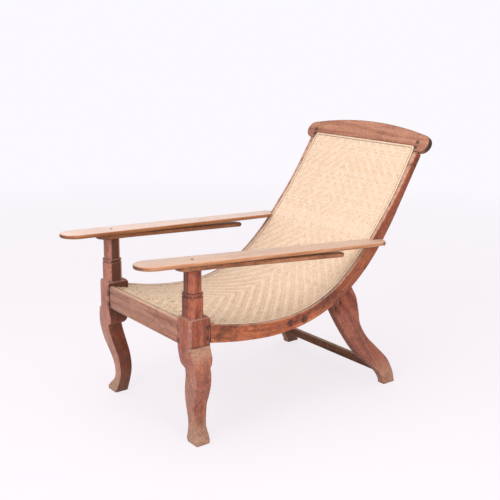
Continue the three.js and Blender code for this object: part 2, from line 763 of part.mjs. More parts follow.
// Hidden seat rail, dowelled to both side rails
const seatRail = toSolid(block(
  [-railInner + fit, seatRailMiddle - seatRailWidth / 2, seatRailHeight - seatRailThickness / 2],
  [railInner - fit, seatRailMiddle + seatRailWidth / 2, seatRailHeight + seatRailThickness / 2],
));
addPiece(
  'seat_rail',
  toGeometry(cut(seatRail, ...dowelBores, ...dowelBores.map((bore) => bore.mirror([1, 0, 0])))),
  'dark',
);

// Crest rail, drawn in the plane of the back with the mat's top edge at zero
const lobeX = frameHalfWidth + crestOverhang - lobeRadius;
const turn = THREE.MathUtils.degToRad(lobeTurn);
const archX = lobeX + lobeRadius * Math.sin(turn);
const archStart = lobeRadius - crestDrop + lobeRadius * Math.cos(turn);
const crestShape = new THREE.Shape();
crestShape.moveTo(matTopHalf, 0);
crestShape.absellipse(
  matTopHalf, -crestDrop, matShoulder - matTopHalf + fit, crestDrop, Math.PI / 2, 0, true,
);
crestShape.lineTo(lobeX, -crestDrop);
crestShape.absarc(lobeX, lobeRadius - crestDrop, lobeRadius, -Math.PI / 2, Math.PI / 2 - turn);
crestShape.quadraticCurveTo(archX / 2, crestHeight, 0, crestHeight);
crestShape.quadraticCurveTo(-archX / 2, crestHeight, -archX, archStart);
crestShape.absarc(-lobeX, lobeRadius - crestDrop, lobeRadius, Math.PI / 2 + turn, 1.5 * Math.PI);
crestShape.lineTo(-matShoulder - fit, -crestDrop);
crestShape.absellipse(
  -matTopHalf, -crestDrop, matShoulder - matTopHalf + fit, crestDrop, Math.PI, Math.PI / 2, true,
);
const crestBlank = new THREE.ExtrudeGeometry(crestShape, {
  depth: crestThickness - 2 * crestEdge,
  bevelThickness: crestEdge,
  bevelSize: crestEdge,
  bevelOffset: -crestEdge,
  bevelSegments: 2,
  curveSegments: 14,
}).translate(0, 0, crestProud + crestEdge - crestThickness);
const crestCuts = [crestTenon(fit), ...crestPegBores];
const crest = cut(
  toSolid(crestBlank.applyMatrix4(backFrame)),
  ...crestCuts,
  ...crestCuts.map((tool) => tool.mirror([1, 0, 0])),
);
addPiece('crest_rail', toGeometry(crest), 'frame');

// Woven mat, notched round the two blocks
const blockCutter = toSolid(block(
  [blockInner - fit, blockFront - overrun, blockUnderside],
  [frameHalfWidth + overrun, blockRear + fit, armTop],
));
const matBlank = toSolid(seatBand(-matThickness, 0, (y) => -matHalfAt(y), matHalfAt));
const mat = cut(matBlank, blockCutter, blockCutter.mirror([1, 0, 0]));
addPiece('woven_mat', toGeometry(mat), 'cane');

// Pale bindings lie along the mat's edges, one on each side and one at the front and at the top
const bindingOuter = (y) => matHalfAt(y) - bindingInset;
const bindingInner = (y) => bindingOuter(y) - bindingWidth;
const endShare = (bindingWidth + bindingInset) / matLength;
const sideBinding = seatBand(fit, bindingTop, bindingInner, bindingOuter, { to: 1 - 2 * endShare });
addPair('side_binding', toGeometry(cut(toSolid(sideBinding), blockCutter)), 'binding');
const frontHalf = blockInner - 2 * fit;
addPiece('front_binding', seatBand(fit, bindingTop, () => -frontHalf, () => frontHalf, {
  from: fit / matLength,
  to: endShare,
}), 'binding');
const topHalf = matTopHalf - bindingInset;
addPiece('top_binding', seatBand(fit, bindingTop, () => -topHalf, () => topHalf, {
  from: 1 - endShare,
  to: 1 - fit / matLength,
}), 'binding');

// Pegs, dowels and nails, each set with its end just proud of the wood
pegHeights.forEach((z, i) => {
  const inner = frameHalfWidth - pegLength;
  const peg = crossRod(pegRadius, inner, frameHalfWidth + pinProud, pegY, z);
  addPair(`block_peg_${i + 1}`, peg, 'peg');
});
dowelPlaces.forEach((y, i) => {
  const inner = railInner - dowelReach;
  const dowel = crossRod(dowelRadius, inner, frameHalfWidth + pinProud, y, seatRailHeight);
  addPair(`seat_rail_dowel_${i + 1}`, dowel, 'peg');
});
crestPegs.forEach((up, i) => {
  const peg = rod(pegRadius, crestPegLength + pinProud).rotateX(Math.PI / 2);
  peg.translate(boardMiddle, up, crestProud + (pinProud - crestPegLength) / 2);
  addPair(`crest_peg_${i + 1}`, peg.applyMatrix4(backFrame), 'peg');
});
nailFrames.forEach((frame, i) => {
  addPair(`rear_leg_nail_${i + 1}`, nailGeometry(0).applyMatrix4(frame), 'iron');
});
addPair('arm_peg', armPeg(pegRadius, armPegInner, armPegOuter), 'peg');

// The origin is on the floor, under the middle of the chair
const box = new THREE.Box3().setFromObject(chair);
chair.position.set(0, -(box.min.y + box.max.y) / 2, -box.min.z);

export default chair;
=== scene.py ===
# %% [markdown]
# A planters chair in Blender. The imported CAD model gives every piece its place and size. This
# lesson gives the pieces their real surfaces: softened arrises and grain on the wood, a woven
# cane mat made of real strips, the laced edge of the mat, pegs and pins.

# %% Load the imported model
import math
from functools import partial

import bpy
import numpy as np
from mathutils import Matrix, Vector


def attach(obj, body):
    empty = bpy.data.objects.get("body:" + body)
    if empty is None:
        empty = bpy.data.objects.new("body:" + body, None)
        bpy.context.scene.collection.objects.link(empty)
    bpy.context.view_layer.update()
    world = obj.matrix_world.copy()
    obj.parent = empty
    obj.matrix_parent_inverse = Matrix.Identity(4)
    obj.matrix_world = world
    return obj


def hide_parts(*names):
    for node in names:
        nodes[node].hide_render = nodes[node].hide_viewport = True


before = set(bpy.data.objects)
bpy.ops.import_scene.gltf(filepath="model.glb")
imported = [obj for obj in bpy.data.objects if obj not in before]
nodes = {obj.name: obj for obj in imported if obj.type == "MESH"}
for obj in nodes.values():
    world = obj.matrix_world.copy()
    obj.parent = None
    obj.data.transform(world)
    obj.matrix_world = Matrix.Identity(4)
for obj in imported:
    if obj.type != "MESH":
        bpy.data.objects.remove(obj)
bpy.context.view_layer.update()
MM = 0.001
SIDES = {"left": 1, "right": -1}

# %% [markdown]
# The camera comes first. Its direction, roll and lens were solved from pairs of points that are
# symmetric on the chair, so the render has the photograph's perspective. A lens of 60 mm on
# Blender's 36 mm wide sensor is a mild telephoto, which suits furniture seen from about 3 m.

# %% Camera
AZIMUTH, ELEVATION, ROLL = math.radians(51.83), math.radians(14.25), math.radians(0.777)
LENS = 60.05
CAMERA_PLACE = Vector((2.3806, -1.8650, 1.3161))
back = Vector((
    math.sin(AZIMUTH) * math.cos(ELEVATION), -math.cos(AZIMUTH) * math.cos(ELEVATION),
    math.sin(ELEVATION),
))
level = Vector((math.cos(AZIMUTH), math.sin(AZIMUTH), 0))
upright = back.cross(level)
right = math.cos(ROLL) * level + math.sin(ROLL) * upright
up = -math.sin(ROLL) * level + math.cos(ROLL) * upright

bpy.ops.object.camera_add()
camera = bpy.context.object
camera.name = "camera"
camera.data.lens = LENS
axes = Matrix((right, up, back)).transposed().to_4x4()
camera.matrix_world = Matrix.Translation(CAMERA_PLACE) @ axes
bpy.context.scene.camera = camera
print("camera at", tuple(CAMERA_PLACE))

# %% [markdown]
# Colours are written as sRGB hex values, as a colour picker gives them, and one function turns
# them into the linear values that shaders expect. A second small function adds a node of any
# kind, sets its values, links its inputs and hands back one of its outputs. With these, a
# material reads like a list of its layers, from the bottom one up.

# %% Colour and node helpers
def linear(code):
    """The linear colour of an sRGB hex value such as "#A05030"."""
    shades = [int(code[i:i + 2], 16) / 255 for i in (1, 3, 5)]
    shades = [s / 12.92 if s <= 0.04045 else ((s + 0.055) / 1.055) ** 2.4 for s in shades]
    return (*shades, 1)


def add_node(tree, kind, inputs=(), take=0, **settings):
    """Adds a node with its settings and gives its output called take. The inputs are values,
    or sockets to link, in the node's order or by name."""
    node = tree.nodes.new("ShaderNode" + kind)
    for name, value in settings.items():
        setattr(node, name, value)
    for name, value in inputs.items() if isinstance(inputs, dict) else enumerate(inputs):
        if isinstance(value, bpy.types.NodeSocket):
            tree.links.new(value, node.inputs[name])
        else:
            node.inputs[name].default_value = value
    return node.outputs[take] if len(node.outputs) else node


def new_material(name):
    """An empty node material, and the function that adds a node to it."""
    material = bpy.data.materials.new(name)
    material.use_nodes = True
    material.node_tree.nodes.clear()
    return material, partial(add_node, material.node_tree)


def paint(add, base, layers):
    """The colour after all layers are laid over a base. A layer is one or more strengths, which
    are multiplied, and a hex colour, or 1 and a shade that darkens or lightens what is below."""
    colour = linear(base)
    for strength, *others, tint in layers:
        for other in others:
            strength = add("Math", (strength, other), operation="MULTIPLY")
        flat = isinstance(tint, str)
        colour = add(
            "Mix", {0: strength, 6: colour, 7: linear(tint) if flat else tint}, take=2,
            data_type="RGBA", blend_type="MIX" if flat else "MULTIPLY",
        )
    return colour


print("mid grey is", [round(shade, 3) for shade in linear("#808080")])

# %% [markdown]
# The wood is an old tropical hardwood, planed by hand, polished and then worn. Its colour runs
# in long streaks along the grain, with short dark dashes where the pores are cut open. Hands and
# sun have bleached the faces that look up, and their paler tone also stands in for the light
# from above, as painted light. End grain has drunk more polish and is darker, and the arrises
# are rubbed. Corners are darkened where the ambient occlusion finds them, dirt and painted shade
# in one, and faces that look away from the worn side, mostly down, get painted shade. Grain
# can't come from Object coordinates on a rail that is bent like a J, so each piece carries two
# attributes. The first is grain: metres along the grain, and across it twice. The second is
# facing: how far the surface looks outward, along its grain, and to the side that gets worn.
# Noise has so many features to the metre: 4 make streaks of 250 mm, and 1600 make pores of
# 0.6 mm, coarser than real ones so that they show.

# %% Wood material
ARRIS_REACH = 6 * MM
CORNER_REACH = 9 * MM
WOOD_RELIEF = 0.5 * MM
EVERYWHERE = ()
OUTER = ((0.45, 0.7),)
INNER = ((-0.75, -0.95),)
FRONT = ((0.5, 0.25), (-0.5, -0.25))
CHAMFER = ((0.5, 0.65), (0.92, 0.8))
ARRISES = None


def wood_material(
    name, tones, pale, grime_and_shade, stains=(), bands=(), rough=0.45, dirt=0.3, edge=None, ends=0.6,
    depth=1.0,
):
    """Polished old hardwood with a dark, a middle and a light tone.

    Stains are (x, y, z, radius, amount), with metres. Bands are ((start, full) heights, colour,
    amount, (start, full) spans of how far the face looks outward, or ARRISES). Edge is the colour
    of the arrises, if it isn't the light tone. Ends is how dark the end grain is, and depth how
    strong the speckle and the pores are."""
    dark, middle, light = tones
    material, add = new_material(name)
    grain = add("Attribute", take="Vector", attribute_name="grain")
    facing = add("Attribute", take="Vector", attribute_name="facing")
    outward, end_grain, worn = (add("SeparateXYZ", (facing,), axis) for axis in "XYZ")
    place = add("TexCoord", take="Object")
    height = add("SeparateXYZ", (place,), "Z")
    streaks, speckle, pores, patches, blots = (
        add("TexNoise", {
            "Vector": add("Mapping", {"Vector": where, "Scale": per_metre}), "Scale": 1,
            "Detail": detail, "Roughness": roughness, "Distortion": distortion,
        })
        for where, per_metre, detail, distortion, roughness in (
            (grain, (4, 60, 60), 5, 0.7, 0.55), (grain, (90, 270, 270), 3, 0, 0.7),
            (grain, (110, 1600, 1600), 2, 0, 0.55), (place, (9, 9, 9), 4, 0.4, 0.55),
            (place, (45, 45, 45), 4, 0.6, 0.55),
        )
    )

    arris = add(
        "AmbientOcclusion", {"Distance": ARRIS_REACH}, "AO", samples=6, inside=True,
        only_local=True,
    )
    # Painted shade and dirt: this occlusion finds the corners, which are darkened further down.
    corner = add("AmbientOcclusion", {"Distance": CORNER_REACH}, "AO", samples=6)
    rubbed = add("Math", (
        add("MapRange", (arris, 0.9, 0.5, 0, 0.9)), add("MapRange", (blots, 0.3, 0.55, 0.3, 1)),
    ), operation="MULTIPLY")
    ragged_height = add("Math", (
        height, add("MapRange", (blots, 0.3, 0.7, -2 * MM, 2 * MM)),
    ), operation="ADD")
    cleanness = add("Math", (patches, blots), operation="MULTIPLY")

    layers = [
        (add("MapRange", (streaks, 0.34, 0.5)), middle),
        (add("MapRange", (streaks, 0.5, 0.68)), light),
        # Partly painted light: faces that look to the worn side, the top on most pieces, are
        # paler.
        (add("MapRange", (worn, 0.35, 0.92)), add("MapRange", (patches, 0.3, 0.6, 0.65, 1)), pale),
        (add("MapRange", (patches, 0.52, 0.7, 0, 0.45)), light),
        (rubbed, edge or light),
    ]
    for limits, tint, amount, sides in bands:
        strengths = [rubbed, amount] if sides is ARRISES else [amount]
        strengths += [add("MapRange", (outward, *side)) for side in sides or ()]
        strengths += [add("MapRange", (ragged_height, *limit)) for limit in limits]
        layers.append((*strengths, tint))
    layers += [
        (add("MapRange", (cleanness, 0.23, 0.15, 0, dirt)), grime_and_shade),
        (1, add("MapRange", (speckle, 0.3, 0.7, 1 - 0.4 * depth, 1 + 0.36 * depth))),
        (1, add("MapRange", (pores, 0.32, 0.46, 1 - 0.2 * depth, 1))),
        (1, add("MapRange", (blots, 0.3, 0.7, 1 - 0.1 * depth, 1 + 0.08 * depth))),
        (add("MapRange", (end_grain, 0.6, 0.95, 0, ends)), grime_and_shade),
        # Painted shade: faces that look away from the worn side, mostly down, are darker.
        (add("MapRange", (worn, -0.3, -0.9, 0, 0.5)), grime_and_shade),
        # Painted shade and dirt: corners that the occlusion finds are darker.
        (add("MapRange", (corner, 0.7, 0.25, 0, 0.7)), grime_and_shade),
    ]
    stained = 0
    for *centre, radius, amount in stains:
        apart = add("VectorMath", (place, centre), "Value", operation="DISTANCE")
        near = add("MapRange", (apart, radius, radius * 0.35, 0, amount))
        stained = add("Math", (stained, near), operation="MAXIMUM")
    ragged = add("MapRange", (blots, 0.35, 0.6, 0.35, 1.3))
    stained = add("Math", (stained, ragged), operation="MULTIPLY")
    layers.append((add("MapRange", (stained, 0.2, 0.9, 0, 0.85)), grime_and_shade))

    shallow = add("Math", (pores, 0.4), operation="MULTIPLY")
    relief = add("Bump", {
        "Height": add("Math", (speckle, shallow), operation="ADD"),
        "Strength": 0.3 * depth ** 2, "Distance": WOOD_RELIEF,
    })
    gloss = add("MapRange", (blots, 0.3, 0.7, rough - 0.08 * depth, rough + 0.12 * depth))
    surface = add("BsdfPrincipled", {
        "Base Color": paint(add, dark, layers), "Roughness": gloss, "Normal": relief, "IOR": 1.5,
    })
    add("OutputMaterial", {"Surface": surface})
    return material


# %% [markdown]
# The photograph shows where the polish is stained or worn. Stains are dark rings round pegs,
# dowels, nails and open joints, a scratch and a few chips. Bands are larger: dusty feet, paler
# fronts and backs low on the legs, a bare cheek at the top of each front leg, and the rims of the
# square block. Some bands are painted shade: the inner sides of legs, blocks, feet, arms and leg
# rests, and the upper back of each side rail's outer face. All were placed from the photograph,
# in metres on the chair. Only the left side shows well, and the right one gets the same stains,
# but not the scratch and the chips.

# %% Stains and bands
SIDE_FACE = 0.3


def on_both(*stains):
    """The same stains on the left and on the right side."""
    return [(side * x, *rest) for side in SIDES.values() for x, *rest in stains]


block_pegs = on_both(*((SIDE_FACE, -0.3964, z, 0.013, 1) for z in (0.3722, 0.4102)))
shoulder_gaps = on_both(
    (0.2325, -0.4695, 0.411, 0.011, 1), (0.234, -0.4695, 0.399, 0.009, 1),
    (0.2325, -0.4695, 0.364, 0.013, 1),
)
rail_gaps = on_both(*((0.2275, -0.4655, z, 0.012, 1) for z in (0.408, 0.363)))
seat_dowels = on_both(*((SIDE_FACE, y, 0.354, 0.022, 0.9) for y in (-0.0434, 0.0206)))
leg_nails = on_both(*(
    (SIDE_FACE, y, z, 0.009, 0.8) for y, z in ((0.173, 0.364), (0.195, 0.382))
))
rail_foot = on_both((SIDE_FACE, 0.14, 0.385, 0.11, 0.5))
crest_pegs = on_both(*((0.2825, y, z, 0.014, 1) for y, z in ((0.582, 0.944), (0.5715, 0.926))))
scratch = [
    (SIDE_FACE, y, 0.367 + 0.2 * (y - 0.017), 0.008, 0.8)
    for y in (0.017, 0.04, 0.079, 0.11, 0.142)
]
chips = [
    (SIDE_FACE, -0.221, 0.383, 0.006, 0.8), (SIDE_FACE, 0.1635, 0.354, 0.008, 0.9),
    (SIDE_FACE, 0.176, 0.397, 0.008, 0.8), (SIDE_FACE, 0.563, 0.856, 0.012, 0.9),
]

foot_dust = (((0.11, 0.03),), "#AD8C72", 0.7, EVERYWHERE)
rear_foot_dust = (((0.12, 0.05),), "#C4967A", 0.7, EVERYWHERE)
pale_shin = (((0.3, 0.22),), "#C0917A", 0.4, FRONT)
lower_leg = (((0.35, 0.33),), "#B48C7C", 0.15, EVERYWHERE)
bare_cheek = (((0.3515, 0.3485), (0.285, 0.335)), "#B48D74", 0.85, OUTER)
cheek_line = (((0.3545, 0.351), (0.3465, 0.3495)), "#40201A", 0.75, OUTER)
block_chamfer = (((0.346, 0.352), (0.449, 0.446)), "#AD8272", 0.6, CHAMFER)
block_rims = (((0.36, 0.38), (0.449, 0.4475)), "#C99F8C", 0.75, ARRISES)
post_front = (((0.4465, 0.45),), "#5C3028", 0.5, FRONT)
pale_faces = ((), "#C58F7E", 0.5, ((-0.95, -0.75),))
# Painted shade: the inner faces of legs, blocks, feet, arms and leg rests are darker, where shade
# falls.
painted_shade_inner_leg = ((), "#5A2A10", 0.65, INNER)
painted_shade_inner_block = (((0.29, 0.33),), "#3A1E12", 0.6, INNER)
painted_shade_inner_foot = ((), "#54341F", 0.6, INNER)
painted_shade_inner_arm = ((), "#8A4E22", 0.6, ((-0.4, -0.8),))
painted_shade_inner_rest = ((), "#6A3A1A", 0.5, ((-0.4, -0.8),))
# Painted shade: the upper back of each side rail's outer face is darker.
painted_shade_back = (((0.5, 0.62),), "#8A4A39", 0.6, OUTER)
dark_middle = (((0.37, 0.39), (0.62, 0.45)), "#7A4030", 0.45, OUTER)
dark_lobes = ((), "#3A221B", 0.85, ((0.35, 0.8),))
leg_stains = block_pegs + shoulder_gaps
rail_stains = seat_dowels + leg_nails + rail_foot + scratch + chips + crest_pegs
print("stains:", len(leg_stains) + len(rail_stains) + len(rail_gaps))

# %% [markdown]
# Every wooden piece is the same kind of mahogany, but the polish has aged in different ways. The
# legs and rails are still red and glossy. The crest rail is faded, and the front rail is scuffed
# by legs. The arms are bleached almost to bare wood, and smooth, so their pores hardly show. The
# stretcher and the hidden rail were never polished, and are dull and brown. The left legs are
# seen from outside and the right ones from inside. The right front leg has a paler wood of its
# own, paler on all but its inner faces. The right arm's wood has a lighter top tone, painted
# light for the brighter light on that arm.

# %% Woods of the chair
RED_TONES = ("#7B3B28", "#A2563C", "#B86E52")
POLISH = ("#BE9077", "#3A1B12")
leg_wood = wood_material(
    "polished_mahogany", RED_TONES, *POLISH, leg_stains,
    (lower_leg, pale_shin, bare_cheek, cheek_line, foot_dust, block_chamfer, block_rims,
     painted_shade_inner_leg, painted_shade_inner_block, post_front), edge="#54291D",
)
leg_wood_right = wood_material(
    "polished_mahogany_paler", RED_TONES, *POLISH, leg_stains,
    (pale_faces, pale_shin, bare_cheek, cheek_line, foot_dust, block_chamfer, block_rims,
     painted_shade_inner_leg, painted_shade_inner_block), edge="#54291D",
)
sabre_wood = wood_material(
    "polished_mahogany_sabre_legs", ("#6E3226", "#934A33", "#AA6148"), "#B98A70", "#3A1B12",
    leg_nails + rail_foot, (lower_leg, rear_foot_dust, painted_shade_inner_foot), edge="#54291D",
)
rail_wood = wood_material(
    "polished_mahogany_rails", ("#823F26", "#AD5D38", "#C87C4E"), "#BF9781", "#3A1B12",
    rail_stains, (painted_shade_back, dark_middle), dirt=0.5,
)
apron_wood = wood_material(
    "scuffed_mahogany", ("#8F5B45", "#A9755D", "#BA8971"), "#D0AD95", "#4A281C", rail_gaps,
    rough=0.5, depth=0.75,
)
crest_wood = wood_material(
    "faded_mahogany", ("#965842", "#B0775B", "#C18A6C"), "#8F5E47", "#43241A", crest_pegs,
    (dark_lobes,), rough=0.5, dirt=0.2, edge="#5E3A2C", ends=0.85, depth=0.8,
)
# Painted light: the right arm's copy has a lighter top tone.
arm_wood, arm_wood_painted_lighter = (
    wood_material(
        name, ("#945A34", "#B77B50", "#CE9A76"), pale, "#5E3826", (), (painted_shade_inner_arm,), rough=0.36,
        dirt=0, edge="#DDB08C", ends=0.9, depth=0.25,
    )
    for name, pale in (("hand_worn_mahogany", "#CFB3A1"), ("hand_worn_mahogany_painted_lighter", "#E8D1C4"))
)
# The leg rests get painted shade on their inner faces.
rest_wood = wood_material(
    "sheltered_mahogany", ("#8A5534", "#AE7350", "#C48C68"), "#B88A6C", "#3A1D12", (),
    (painted_shade_inner_rest,),
)
low_wood = wood_material(
    "dull_brown_hardwood", ("#5E3826", "#7C4C34", "#946242"), "#B08F70", "#33211A", rough=0.6,
)
peg_wood = wood_material(
    "dark_peg_end_grain", ("#2E1A14", "#4A2C20", "#6B4433"), "#4A2C20", "#1E110C", rough=0.6,
)
print("materials so far:", len(bpy.data.materials))

# %% [markdown]
# The iron pins and nails are old and dull, with a brown film of rust. Clean iron has metallic 1,
# but the film isn't metal, so metallic is 0.8 here. A noise of 600 spots to the metre, each
# under 2 mm wide, makes the rusty patches browner and rougher.

# %% Iron
RUST_PER_METRE = 600
RUST_RELIEF = 0.4 * MM
iron, add = new_material("dull_wrought_iron")
rust = add("TexNoise", {
    "Vector": add("TexCoord", take="Object"), "Scale": RUST_PER_METRE, "Detail": 4,
    "Roughness": 0.55,
})
surface = add("BsdfPrincipled", {
    "Base Color": paint(add, "#4A443F", [(add("MapRange", (rust, 0.35, 0.65)), "#5A3426")]),
    "Roughness": add("MapRange", (rust, 0.3, 0.7, 0.4, 0.8)), "Metallic": 0.8,
    "Normal": add("Bump", {"Height": rust, "Strength": 0.4, "Distance": RUST_RELIEF}),
})
add("OutputMaterial", {"Surface": surface})
print("metal:", iron.name)

# %% [markdown]
# The mat is one cane sheet that runs from the front rail up to the crest rail. The line of its
# upper face is read from the CAD solid, so everything below lies on the same curve. The upper
# face is the one that looks towards a point above the seat, round which the mat turns.

# %% The mat's surface
TURNING_CENTRE = np.array([-0.06, 1.2])
LOOKS_UP, LOOKS_ASIDE = 0.5, 0.3
SAMPLE = 1 * MM
SMOOTHING = 31


def mat_rings():
    """Places (y, z, half width) along the middle of the mat's upper face, front to back."""
    mesh = nodes["woven_mat"].data
    found = {}
    for polygon in mesh.polygons:
        towards = TURNING_CENTRE - np.array(polygon.center[1:])
        looks_up = np.dot(towards, polygon.normal[1:]) > LOOKS_UP * np.linalg.norm(towards)
        if looks_up and abs(polygon.normal.x) < LOOKS_ASIDE:
            for index in polygon.vertices:
                x, y, z = mesh.vertices[index].co
                key = (round(y, 5), round(z, 5))
                found[key] = max(found.get(key, 0), abs(x))
    rings = np.array([(y, z, half) for (y, z), half in found.items()])
    angles = np.arctan2(rings[:, 0] - TURNING_CENTRE[0], TURNING_CENTRE[1] - rings[:, 1])
    return rings[np.argsort(angles)]


def smoothed(values):
    """A running mean that keeps the ends in place."""
    reach = SMOOTHING // 2
    before = 2 * values[0] - values[1:reach + 1][::-1]
    after = 2 * values[-1] - values[-reach - 1:-1][::-1]
    padded = np.concatenate([before, values, after])
    return np.convolve(padded, np.ones(SMOOTHING) / SMOOTHING, mode="valid")


def spread(line):
    """Distances along a line of places."""
    return np.concatenate([[0], np.cumsum(np.linalg.norm(np.diff(line, axis=0), axis=1))])


rings = mat_rings()
ring_runs = spread(rings[:, :2])
mat_length = ring_runs[-1]
runs = np.arange(0, mat_length + SAMPLE / 2, SAMPLE)
line_y, line_z = (smoothed(np.interp(runs, ring_runs, rings[:, axis])) for axis in (0, 1))
tangent_y, tangent_z = np.gradient(line_y), np.gradient(line_z)
steepness = np.hypot(tangent_y, tangent_z)
tangent_y, tangent_z = tangent_y / steepness, tangent_z / steepness


def half_width(run):
    """Half the mat's width at a run along it."""
    return np.interp(run, ring_runs, rings[:, 2])


def on_mat(across, run, height):
    """A place at X = across, a run along the mat, and a height above its upper face."""
    y = np.interp(run, runs, line_y) - height * np.interp(run, runs, tangent_z)
    z = np.interp(run, runs, line_z) + height * np.interp(run, runs, tangent_y)
    return np.stack([across, y, z], axis=-1)


print(f"mat: {len(rings)} rings, {mat_length:.3f} m long, {2 * rings[:, 2].max():.3f} m wide")

# %% [markdown]
# The solids of the CAD model already have the right outlines, but their arrises are knife
# sharp, and on the real chair they are rubbed round. So each wooden piece is a copy of its
# node: its loose triangles are merged, flat faces are joined, a bevel rounds the arrises, and
# smooth shading is kept to the gentle edges. A side rail is also cut across every 25 mm, so that
# its grain can follow the bend.

# %% Rounded copies
MERGE_DISTANCE = 0.02 * MM
FLAT_ANGLE = math.radians(0.6)
ARRIS_ANGLE = math.radians(28)
SMOOTH_ANGLE = math.radians(32)
CUT_SPACING = 25 * MM


def choose(piece):
    """Makes a piece the only selected one, and the active one."""
    bpy.ops.object.select_all(action="DESELECT")
    piece.select_set(True)
    bpy.context.view_layer.objects.active = piece


def cut_across(piece):
    """Adds edges across a bent piece, so that its attributes can follow the bend."""
    choose(piece)
    bpy.ops.object.mode_set(mode="EDIT")
    for run in np.arange(CUT_SPACING, mat_length, CUT_SPACING):
        bpy.ops.mesh.select_all(action="SELECT")
        bpy.ops.mesh.bisect(
            plane_co=tuple(on_mat(0, run, 0)),
            plane_no=(0, np.interp(run, runs, tangent_y), np.interp(run, runs, tangent_z)),
        )
    bpy.ops.object.mode_set(mode="OBJECT")


def rounded_copy(node, width, segments, bent):
    """A merged copy of a CAD node with rounded arrises. A bent one gets edges across it."""
    piece = bpy.data.objects.new("wood_" + node, nodes[node].data.copy())
    bpy.context.scene.collection.objects.link(piece)
    piece.data.materials.clear()
    choose(piece)
    bpy.ops.object.mode_set(mode="EDIT")
    bpy.ops.mesh.select_all(action="SELECT")
    bpy.ops.mesh.remove_doubles(threshold=MERGE_DISTANCE)
    bpy.ops.mesh.dissolve_limited(angle_limit=FLAT_ANGLE)
    bpy.ops.object.mode_set(mode="OBJECT")
    if bent:
        cut_across(piece)
    bevel = piece.modifiers.new("arris", "BEVEL")
    bevel.width = width * MM
    bevel.segments = segments
    bevel.limit_method = "ANGLE"
    bevel.angle_limit = ARRIS_ANGLE
    bevel.use_clamp_overlap = False
    bevel.miter_outer = "MITER_ARC"
    bpy.ops.object.modifier_apply(modifier=bevel.name)
    bpy.ops.object.shade_smooth_by_angle(angle=SMOOTH_ANGLE)
    return piece


print("cuts across a side rail:", int(mat_length / CUT_SPACING))

# %% [markdown]
# Now the two attributes. For places on a piece, a function gives the grain coordinates and the
# directions of the grain and of the worn side. On a straight piece the grain has one direction,
# and the worn side is the top. On a side rail the grain runs along the line of the mat, and the
# worn side is the inner edge, a little more so along the back.

# %% Grain of a piece
WEAR_RUNS, WEAR = (0.6, 0.85), (0.9, 1.0)
NEARLY_UPRIGHT = 0.9


def vertex_places(piece):
    """The places of a mesh's vertices, one row each."""
    places = np.empty(len(piece.data.vertices) * 3)
    piece.data.vertices.foreach_get("co", places)
    return places.reshape(-1, 3)


def store(piece, name, values, domain="POINT"):
    """Keeps one number or vector per vertex, or per face, as an attribute."""
    values = np.asarray(values, np.float32)
    kind, field = ("FLOAT_VECTOR", "vector") if values.ndim == 2 else ("FLOAT", "value")
    attribute = piece.data.attributes.new(name, kind, domain)
    attribute.data.foreach_set(field, values.ravel())


def straight_grain(places, direction):
    """Grain coordinates, grain directions and worn directions on a straight piece."""
    along = Vector(direction).normalized()
    upright = Vector((0, 0, 1)) if abs(along.z) < NEARLY_UPRIGHT else Vector((0, 1, 0))
    aside = along.cross(upright).normalized()
    through = along.cross(aside)
    grain = np.stack([places @ np.array(axis) for axis in (along, aside, through)], axis=1)
    return grain, np.tile(along, (len(places), 1)), np.tile((0.0, 0.0, 1.0), (len(places), 1))


def bent_grain(places, _):
    """The same on a side rail, whose grain follows the mat."""
    apart = places[:, None, 1:] - np.stack([line_y, line_z], axis=1)[None]
    nearest = np.argmin((apart ** 2).sum(axis=2), axis=1)
    gap = apart[np.arange(len(places)), nearest]
    ahead_y, ahead_z, none = tangent_y[nearest], tangent_z[nearest], np.zeros(len(places))
    run = runs[nearest] + gap[:, 0] * ahead_y + gap[:, 1] * ahead_z
    above = gap[:, 1] * ahead_y - gap[:, 0] * ahead_z
    wear = np.interp(run, WEAR_RUNS, WEAR)
    return (
        np.stack([run, above, places[:, 0]], axis=1),
        np.stack([none, ahead_y, ahead_z], axis=1),
        np.stack([none, -ahead_z * wear, ahead_y * wear], axis=1),
    )


rail_grain, _, _ = bent_grain(vertex_places(nodes["side_rail_left"]), None)
print(f"a side rail's grain is {np.ptp(rail_grain[:, 0]):.3f} m long")

# %% [markdown]
# Each wooden piece now gets its wood, the direction of its grain and the roundness of its
# arrises. The leg rests are rounded most, as hands take hold of them. Two pieces of one wood
# would show the same streaks, so the grain of each starts at another place in the noise.

# %% Wooden pieces
SINGLE = {
    # node: wood, grain direction, arris in mm, its segments, slot
    "front_rail": (apron_wood, (1, 0, 0), 1.8, 2, "hardwood"),
    "crest_rail": (crest_wood, (1, 0, 0), 1.4, 2, "hardwood"),
    "rear_stretcher": (low_wood, (1, 0, 0), 1.6, 2, "grey_wood"),
    "seat_rail": (low_wood, (1, 0, 0), 1.8, 2, "grey_wood"),
}
PAIRED = {
    "front_leg": (leg_wood, (0, 0, 1), 2.2, 3, "hardwood"),
    "rear_leg": (sabre_wood, (0, 0.6, -0.8), 2.2, 3, "hardwood"),
    "side_rail": (rail_wood, None, 2.4, 3, "hardwood"),
    "armrest": (arm_wood, (0, 1, 0), 2.4, 3, "worn_wood"),
    "leg_rest": (rest_wood, (0, 1, 0), 5.0, 4, "worn_wood"),
}
SINGLE_SHIFT, PAIR_START, PAIR_SHIFT, SIDE_SHIFT = 1.7, 9.1, 2.3, 0.61


